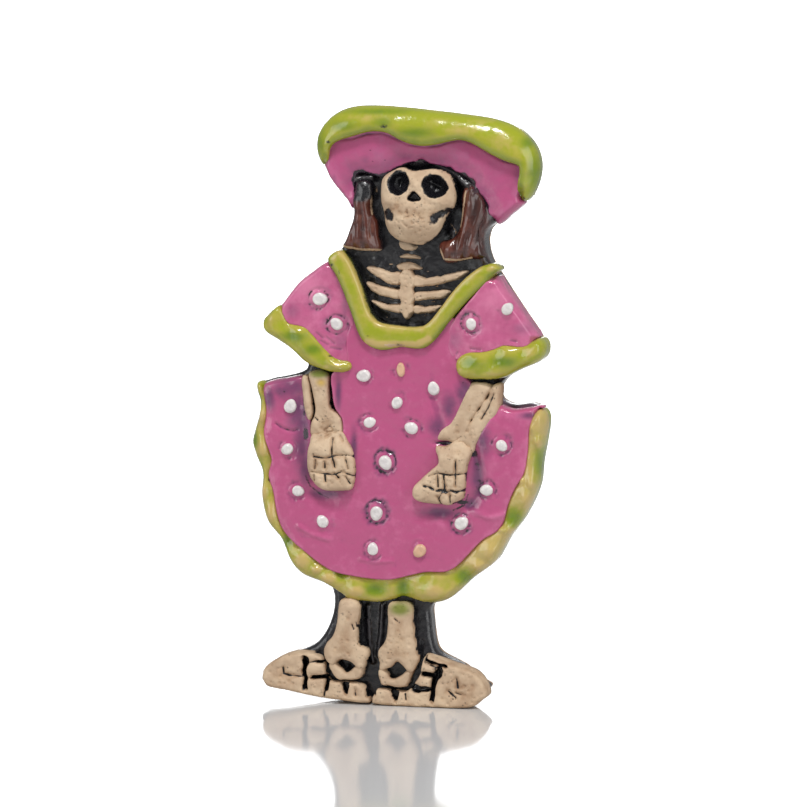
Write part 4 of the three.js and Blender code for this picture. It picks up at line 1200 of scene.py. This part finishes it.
def ruffle(P, d):
    """Soft lumps pressed into the hem, green between them and rubbed pale on top"""
    green, tan, glint = spots(P, HEM_GREEN), spots(P, HEM_TAN), spots(P, HEM_GLINTS)
    h = 5.1 + 0.8 * arch(d / 1.4) + 0.14 * rough(P, 1.8, 101)
    h += 0.55 * tan - 0.42 * green + 0.35 * glint
    smudge = spots(P, [
        (-14.2, 21.6, 0.7, 0.3), (-6.3, 16.6, 0.6, 0.3), (-16.3, 28.2, 0.3, 0.5),
        (-10.4, 18.9, 0.3, 0.2)
    ])
    shade = 0.35 * (1 - fade(d, 0.0, 0.4)) * fade(WHOLE.at(P), 1.0, 2.0)
    rubbed = (0.48 + 0.27 * fade(P[:, 0], 3.0, 11.0)) * (1 - green)
    pale = most(0.95 * tan, 0.6 * glint, rubbed)
    return plain(h, dab=0.74 * green, pale=pale, stain=np.maximum(0.6 * smudge, shade))


HAND_LEFT_CUTS = [
    [(-10.1, 31.4), (-8.6, 31.2), (-7.3, 31.6), (-5.9, 31.7), (-5.1, 31.5)],
    [(-10.4, 29.5), (-9.0, 29.3), (-7.5, 29.2), (-6.5, 29.6), (-5.1, 29.1)],
    [(-7.8, 33.6), (-7.8, 31.7)], [(-6.9, 34.0), (-6.5, 33.4)], [(-9.9, 31.0), (-10.0, 29.8)],
    [(-8.7, 30.8), (-8.7, 30.0)], [(-7.7, 31.3), (-7.4, 30.1)], [(-6.1, 31.6), (-5.7, 30.0)],
    [(-10.1, 29.1), (-10.1, 28.4)], [(-8.7, 29.2), (-8.6, 28.3)], [(-7.5, 29.4), (-6.9, 28.8)],
    [(-6.0, 29.0), (-5.5, 28.1)], [(-9.0, 34.6), (-8.3, 35.2), (-7.9, 34.6)],
    [(-8.6, 33.9), (-8.2, 34.2)],
]
HAND_RIGHT_CUTS = [
    [(4.6, 29.3), (5.7, 29.7), (7.3, 29.5), (9.1, 29.7)], [(5.7, 29.6), (5.8, 28.0)],
    [(6.5, 29.5), (6.6, 27.6)], [(8.0, 31.2), (8.0, 30.1), (8.0, 28.1)],
    [(5.7, 26.8), (6.2, 25.7)], [(7.3, 27.0), (7.3, 26.0)], [(8.9, 26.4), (7.6, 25.9)],
]
HAND_RIGHT_DEEP = [
    [
        (4.0, 28.1), (4.8, 27.9), (5.5, 27.5), (6.2, 27.6), (6.8, 27.3), (7.4, 27.6), (8.1, 27.4),
        (9.1, 27.7)
    ],
    [(6.5, 27.6), (6.1, 26.9), (5.9, 26.5)], [(6.6, 28.4), (6.7, 27.5)],
]


def bony_hand(cuts, seed, wrist, deep=()):
    def shape(P, d):
        cut = lines(P, cuts, 0.13) * (0.8 + 0.35 * noise(P, 0.7, seed + 4))
        valley = lines(P, cuts, 0.34)
        if deep:
            cut = np.maximum(
                cut, 1.25 * lines(P, deep, 0.19) * (0.8 + 0.35 * noise(P, 0.45, seed + 9))
            )
        holes = pits(P, 0.6, seed, 0.4) * fade(d, 0.1, 0.5)
        h = (
            7.2 + 0.5 * arch(d / 1.0) + 0.1 * rough(P, 1.2, seed + 2)
            + 0.04 * rough(P, 0.6, seed + 6)
        )
        h -= 0.27 * cut + 0.18 * valley + 0.12 * holes
        h -= 0.85 * fade(P[:, 1], wrist - 1.6, wrist + 0.6)
        grime = most(0.8 * cut, 0.3 * (1 - fade(d, 0.0, 0.2)), 0.3 * holes, 0.2 * valley)
        return plain(h, stain=grime)

    return shape


def forearm(cuts, seed, green=(), yellow=(), edge=0.62):
    def shape(P, d):
        cut = lines(P, cuts, 0.15) if cuts else np.zeros(len(P))
        holes = pits(P, 0.7, seed, 0.35) * fade(d, 0.1, 0.5)
        h = 5.9 + 0.6 * arch(d / 0.9) + 0.1 * rough(P, 1.3, seed + 2) - 0.22 * cut - 0.11 * holes
        grime = most(0.7 * cut, edge * (1 - fade(d, 0.0, 0.26)), 0.3 * holes)
        return plain(h, stain=grime, dab=0.85 * spots(P, green), pale=0.7 * spots(P, yellow))

    return shape


FOOT_MARKS = {
    "foot_left": [
        [(-14.5, 4.4), (-14.4, 3.6), (-13.4, 3.4), (-11.9, 3.3)],
        [(-11.6, 5.0), (-10.4, 5.3), (-9.0, 5.4)], [(-11.6, 3.1), (-9.0, 3.3)],
        [(-9.1, 3.2), (-9.1, 1.6), (-9.2, 0.9)], [(-5.2, 2.2), (-5.1, 1.2)],
        [(-11.9, 2.2), (-11.9, 1.6)], [(-12.0, 5.4), (-11.8, 4.4), (-12.0, 3.5), (-11.8, 2.5)],
    ],
    "foot_right": [
        [(7.9, 3.8), (8.1, 2.6)], [(6.9, 2.2), (7.8, 1.4)], [(7.8, 2.0), (8.5, 1.8)],
        [(3.3, 6.0), (4.0, 5.5), (5.3, 5.1)], [(2.7, 4.3), (5.1, 4.3)],
        [(5.1, 5.1), (5.2, 3.8), (4.7, 2.5), (4.5, 0.9)], [(1.3, 1.6), (1.4, 0.9)],
    ],
}
FOOT_GAPS = {
    "foot_left": [
        [(-9.1, 6.2), (-8.8, 5.0), (-8.8, 3.9), (-8.4, 3.1)],
        [(-3.4, 3.4), (-3.7, 2.2), (-3.6, 1.2)], [(-4.1, 2.9), (-3.6, 2.0)],
    ],
    "foot_right": [
        [(3.2, 6.6), (2.7, 5.6), (2.6, 4.7), (2.3, 3.7), (2.2, 2.9)], [(-2.6, 2.6), (-2.7, 1.4)],
        [(-1.0, 2.3), (0.3, 2.2)], [(-0.4, 1.9), (-0.2, 1.2)],
        [(2.0, 2.4), (2.8, 2.1), (4.2, 2.2)], [(5.1, 4.4), (5.2, 3.8)],
    ],
}


def foot(node, seed):
    """Clay toes and foot bones, parted by narrow gaps filled with black"""
    top = Outline(face_loops(node, back=False))

    def shape(P, d):
        inner = top.depth(P)[0] + 0.12 * noise(P, 0.8, seed + 8)
        sole = 1 - fade(P[:, 1] - 0.1 * np.maximum(-P[:, 0] - 2, 0), 0.35, 0.9)
        opened = lines(P, FOOT_GAPS[node], 0.3) * (0.85 + 0.3 * noise(P, 0.6, seed + 9))
        opened = fade(opened, 0.25, 0.7) * (1 - 0.7 * sole)
        up = fade(inner, -0.22, 0.1) * (0.72 + 0.28 * arch((inner + 0.1) / 0.6))
        cut = lines(P, FOOT_MARKS[node], 0.14) * (0.8 + 0.45 * noise(P, 0.6, seed + 5))
        valley = lines(P, FOOT_MARKS[node], 0.4)
        holes = pits(P, 0.7, seed, 0.4) * fade(inner, 0.1, 0.5)
        up = np.maximum(up, 0.9 * sole) * (1 - opened)
        h = 4.75 + 1.65 * up + 0.1 * rough(P, 1.3, seed + 2) + 0.05 * rough(P, 0.6, seed + 4)
        h -= 0.26 * cut + 0.2 * valley + 0.12 * holes
        gap = (1 - fade(inner, -0.16, 0.1)) * (1 - sole) * fade(d, 0.05, 0.3)
        smear = (
            0.4 * spots(P, [(7.6, 2.0, 1.4, 1.0), (-16.0, 3.2, 0.8, 0.8), (9.8, 3.0, 0.8, 0.8)])
        )
        smear = smear * fade(rough(P, 0.6, seed + 6), -0.2, 0.6)
        soiled = 0.34 * fade(rough(P, 1.0, seed + 7), 0.2, 0.8)
        grime = most(gap, opened, 0.85 * cut, 0.4 * holes, smear, soiled)
        return plain(h, stain=grime, pale=0.2 * sole)

    return shape


THICK = {"base": 1.6, "under": 0.9, "rows": 5}  # parts that show their sides at the figure's edge
BONY = {"step": 0.1, "rows": 2}
LOCK = {"step": 0.1, "rims": (0.4, 0.7), "reach": (0.05, 0.2), "rows": 3}


def build_head():
    relief("hat_edge_roll", "lime_glaze", hat_roll, rims=(0.2, 0.5), base=1.6, under=1.2, rows=5)
    relief("hat_brim", "pink_glaze", brim, rims=(0.25, 1.6), base=1.8, under=0.8, rows=5)
    relief("skull", "clay", skull, step=0.1, rims=(0.7, 0.7), reach=(0.05, 0.1), rows=3,
           side_stain=0.95)
    relief("hair_lock_left", "brown_glaze", lock_left, **LOCK)
    relief("hair_lock_right", "brown_glaze", lock_right, **LOCK)


CHEST = {  # height of the flat middle, and where each bone runs on into the next
    "neck_bone_upper": (4.9, [(1.4, 58.3, 0.9)]),
    "neck_bone_lower": (4.85, []),
    "throat_knot": (4.95, [(1.2, 54.7, 0.6)]),
    "sternum": (5.1, [
        (1.2, 54.6, 0.6), (0.4, 53.7, 0.6), (2.1, 53.4, 0.6), (0.4, 51.7, 0.5), (2.1, 51.5, 0.5),
        (0.5, 49.9, 0.45), (2.0, 49.8, 0.45),
    ]),
    "collarbone_left": (5.0, [(0.4, 53.7, 0.75)]),
    "collarbone_right": (5.0, [(2.2, 53.4, 0.75)]),
    "rib_upper_left": (4.95, [(0.3, 51.7, 0.6)]),
    "rib_upper_right": (4.95, [(2.3, 51.5, 0.6)]),
    "rib_lower_left": (4.95, [(0.4, 49.9, 0.55)]),
    "rib_lower_right": (4.95, [(2.2, 49.8, 0.55)]),
}


def build_chest():
    for k, (node, (top, joins)) in enumerate(CHEST.items()):
        grow = -0.06 if node in ("neck_bone_upper", "neck_bone_lower", "throat_knot") else 0.08
        relief(node, "clay", bone(top, 200 + 11 * k), step=0.08, rims=(0.35, 0.35),
               reach=(grow, grow), rows=2, joins=joins, side_stain=0.9)


def build_dress():
    relief(
        "neckline_trim", "lime_glaze", neck_trim, step=0.09, rims=(0.3, 0.5), reach=(0.02, 0.06),
        rows=2, side_stain=0.9
    )
    surfaces = {}
    surfaces["dress"] = relief(
        "dress", "pink_glaze", dress, rims=(0.12, 1.3), reach=(0.02, 0.45), base=3.0, rows=3
    )[1]
    for side, seed in (("left", 111), ("right", 115)):
        surfaces["sleeve_" + side] = relief(
            "sleeve_" + side, "pink_glaze", sleeve(seed), rims=(0.12, 2.0), **THICK)[1]
    relief("cuff_left", "lime_glaze", cuff_left, rims=(0.5, 1.0), reach=(0.03, 0.12), **THICK)
    relief("cuff_right", "lime_glaze", cuff_right, rims=(0.5, 1.0), reach=(0.03, 0.12), **THICK)
    relief("skirt_ruffle", "lime_glaze", ruffle, rims=(0.4, 1.3), reach=(0.02, 0.12),
           base=1.2, under=0.8, rows=5, joins=[(-5.9, 13.2, 1.1), (0.7, 12.8, 1.2)])
    return surfaces


TAN_DOTS = {"dress_dot_2", "dress_dot_17"}


def build_dots(surfaces):
    """Blobs of thick white glaze on the cloth"""
    names = [f"sleeve_dot_{k}" for k in range(1, 5)] + [f"dress_dot_{k}" for k in range(1, 18)]
    for k, node in enumerate(names):
        if node.startswith("sleeve"):
            under = surfaces["sleeve_left" if k < 2 else "sleeve_right"]
        else:
            under = surfaces["dress"]
        middle = face_loops(node)[0].mean(0)
        seat = float(under(middle[None, :])[0])

        def shape(P, d, seat=seat, seed=300 + 7 * k, tan=node in TAN_DOTS):
            h = seat + 0.02 + 0.36 * arch(d / 0.42) + 0.1 * rough(P, 0.7, seed)
            dab = 0.95 * fade(rough(P, 0.9, seed + 4), -0.9, -0.3) if tan else np.zeros(len(P))
            return plain(
                h, dab=dab, bare=0.3 * (1 - fade(d, 0.0, 0.16)),
                stain=0.2 * fade(rough(P, 0.4, seed + 3), 0.2, 0.8)
            )

        turn, grow = 2.4 * k, 0.08 + 0.07 * math.sin(5.1 * k + 1.0)
        lean = [(middle[0] + 1.6 * math.cos(turn), middle[1] + 1.6 * math.sin(turn), 1.1)]
        if node == "dress_dot_2":
            grow = -0.1
            lean = [(middle[0], middle[1] + 0.8, 0.5), (middle[0] + 0.1, middle[1] - 0.7, 0.45)]
        relief(node, "white_glaze", shape, step=0.06, rims=(0.12, 0.12), reach=(grow, grow),
               base=seat - 0.45, rim_mark=0.2, hollow_reach=0.3, joins=lean)


WRIST_LEFT = [(-10.3, 34.0, 0.7), (-9.3, 34.1, 0.8), (-8.2, 34.2, 0.8), (-7.1, 34.2, 0.8)]


def build_limbs():
    mark = [
        [(-9.0, 34.6), (-8.3, 35.2), (-7.9, 34.6), (-8.5, 34.3), (-9.0, 34.6)],
        [(-10.2, 36.2), (-9.9, 35.9)]
    ]
    relief(
        "radius_left", "clay",
        forearm(mark, 401, [(-9.6, 41.7, 1.6, 0.6)], [(-9.4, 40.6, 0.8, 0.6)], edge=0.35),
        rims=(0.4, 0.4), reach=(0.05, 0.14), **BONY, joins=WRIST_LEFT + [(-9.8, 41.8, 1.0)],
        side_stain=0.9
    )
    relief(
        "ulna_left", "clay", forearm([], 405, edge=0.3), step=0.08, rims=(0.2, 0.2),
        reach=(0.0, 0.0), rows=2, side_stain=0.9
    )
    seam = [(12.4, 40.8), (11.7, 39.1), (10.7, 37.7), (9.7, 36.2), (9.3, 34.9)]
    scratch = [(12.6, 39.6), (11.9, 37.9), (11.0, 36.4)]
    along = [
        (12.2, 40.0, 0.4), (11.2, 38.4, 0.5), (10.2, 36.9, 0.6), (9.4, 35.5, 0.6), (8.7, 34.3, 0.7)
    ]
    relief(
        "radius_right", "clay", forearm([seam], 409, edge=0.3), rims=(0.4, 0.4),
        reach=(0.05, 0.14), **BONY, joins=along + [(7.6, 33.6, 0.6)], side_stain=0.8
    )
    relief(
        "ulna_right", "clay", forearm([seam, scratch], 413, edge=0.3), rims=(0.4, 0.4),
        reach=(0.05, 0.14), **BONY,
        joins=along + [(8.7, 32.8, 0.8), (8.0, 33.1, 0.6), (9.6, 32.5, 0.5)], side_stain=0.8
    )
    relief(
        "hand_left", "clay", bony_hand(HAND_LEFT_CUTS, 417, 33.8), rims=(0.5, 0.5),
        reach=(0.03, 0.03), **BONY, joins=WRIST_LEFT
    )
    relief(
        "hand_right", "clay", bony_hand(HAND_RIGHT_CUTS, 421, 32.8, HAND_RIGHT_DEEP),
        rims=(0.5, 0.5), reach=(0.03, 0.03), **BONY,
        joins=[(8.6, 33.2, 0.8), (9.3, 32.6, 0.6), (7.9, 33.3, 0.6)]
    )
    pitted = [[(-5.5, 10.2), (-5.3, 9.6)], [(-5.0, 10.4), (-4.9, 9.9)]]
    relief(
        "shin_left", "clay", forearm(pitted, 425, edge=0.35), rims=(0.45, 0.45), reach=(0.05, 0.2),
        **BONY, joins=[(-8.2, 5.2, 0.6), (-4.6, 4.7, 0.6), (-5.9, 13.4, 1.2)], side_stain=0.9
    )
    relief(
        "shin_right", "clay",
        forearm([[(0.0, 11.1), (0.3, 10.8)]], 429, [(0.7, 12.4, 1.6, 1.0)], edge=0.35),
        rims=(0.45, 0.45), reach=(0.05, 0.2), **BONY,
        joins=[(-1.9, 4.6, 0.5), (2.0, 4.5, 0.6), (0.8, 13.1, 1.3)], side_stain=0.9
    )
    meets = {
        "left": [(-8.2, 5.1, 0.6), (-4.7, 4.7, 0.6)], "right": [(-1.8, 4.5, 0.5), (1.8, 4.4, 0.5)]
    }
    for side, seed in (("left", 433), ("right", 437)):
        relief(
            "ankle_bone_" + side, "clay", bone(5.9, seed, 0.6), rims=(0.45, 0.45),
            reach=(0.0, 0.0), **BONY, joins=meets[side], side_stain=0.9
        )
    for side, seed in (("left", 441), ("right", 445)):
        relief(
            "foot_" + side, "clay", foot("foot_" + side, seed), rims=(0.25, 0.5),
            reach=(0.0, 0.05), step=0.1, base=3.2, rows=3, side_stain=0.9
        )


relief(
    "backing_slab", "black_glaze", slab, step=0.17, rims=(0.9, 0.9), reach=(0.0, 0.0),
    back=back_surface, rows=6, rim_mark=0.3
)
build_head()
build_chest()
build_dots(build_dress())
build_limbs()


# ---- Floor, light and camera ----
def staged(name, verts, faces, material):
    mesh = bpy.data.meshes.new(name)
    mesh.from_pydata(verts, [], faces)
    mesh.materials.append(material)
    obj = bpy.data.objects.new(name, mesh)
    bpy.context.scene.collection.objects.link(obj)


def pale_floor():
    """A glossy white table with a softly glowing white wall far behind it"""
    material, w, shader = new_material("pale_floor_finish")
    where = w.add("ShaderNodeTexCoord").outputs["Object"]
    cloud = w.noise(where, 6.0, 2.0)
    colour = w.mix(cloud, (0.68, 0.68, 0.68, 1.0), (0.72, 0.72, 0.72, 1.0))
    w.tree.links.new(colour, shader.inputs["Base Color"])
    w.tree.links.new(w.step(cloud, 0.3, 0.7, 0.05, 0.09), shader.inputs["Roughness"])
    staged("floor", [(-4, -1.5, 0), (4, -1.5, 0), (4, 2, 0), (-4, 2, 0)], [(0, 1, 2, 3)], material)
    glow, w, shader = new_material("pale_wall_finish")
    where = w.add("ShaderNodeTexCoord").outputs["Object"]
    white = w.mix(w.noise(where, 1.5, 2.0), (0.97, 0.98, 0.98, 1.0), (1.0, 1.0, 1.0, 1.0))
    w.tree.links.new(white, shader.inputs["Base Color"])
    w.tree.links.new(white, shader.inputs["Emission Color"])
    seen = w.add("ShaderNodeLightPath").outputs["Is Camera Ray"]
    w.tree.links.new(w.step(seen, 0.0, 1.0, 2.2, 1.0), shader.inputs["Emission Strength"])
    shader.inputs["Roughness"].default_value = 0.9
    left, right, up = -0.95, -0.1, 0.55
    staged(
        "wall", [(left, 2, 0), (right, 2, 0), (right, 2, up), (left, 2, up)], [(0, 1, 2, 3)], glow
    )


def light(name, place, target, size, power):
    lamp = bpy.data.lights.new(name, "AREA")
    lamp.shape = "RECTANGLE"
    lamp.size, lamp.size_y = size
    lamp.energy = power
    obj = bpy.data.objects.new(name, lamp)
    obj.location = place
    obj.rotation_euler = aimed(np.array(target) - np.array(place))
    bpy.context.scene.collection.objects.link(obj)


def aimed(way):
    return Vector(way).to_track_quat("-Z", "Y").to_euler()


def camera():
    """Set slightly to the right of the figure and a little above its middle"""
    turn, lift, reach = math.radians(13.0), math.radians(5.3), 0.45
    target = np.array([0.00065, 0.0, 0.038])
    away = np.array(
        [math.sin(turn) * math.cos(lift), -math.cos(turn) * math.cos(lift), math.sin(lift)]
    )
    lens = bpy.data.cameras.new("camera")
    lens.lens, lens.sensor_width = 160.6, 36.0
    lens.clip_start, lens.clip_end = 0.01, 20.0
    obj = bpy.data.objects.new("camera", lens)
    obj.location = target + reach * away
    obj.rotation_euler = aimed(-away)
    bpy.context.scene.collection.objects.link(obj)
    bpy.context.scene.camera = obj


def surroundings():
    world = bpy.data.worlds.new("studio")
    bpy.context.scene.world = world
    world.use_nodes = True
    w = Wiring(world.node_tree)
    sky = world.node_tree.nodes["Background"]
    sky.inputs["Color"].default_value = (0.97, 0.98, 1.0, 1.0)
    seen = w.add("ShaderNodeLightPath").outputs["Is Camera Ray"]
    w.tree.links.new(w.step(seen, 0.0, 1.0, 0.33, 1.0), sky.inputs["Strength"])
    middle = (0.0, 0.0, 0.04)
    light("top_softbox", (0.06, -0.3, 0.6), middle, (0.13, 0.1), 2.2)
    light("left_softbox", (-0.5, -0.5, 0.3), middle, (0.42, 0.5), 1.6)
    light("right_softbox", (0.62, -0.25, 0.25), middle, (0.5, 0.6), 2.1)


pale_floor()
surroundings()
camera()
bpy.context.scene.view_settings.view_transform = "Standard"
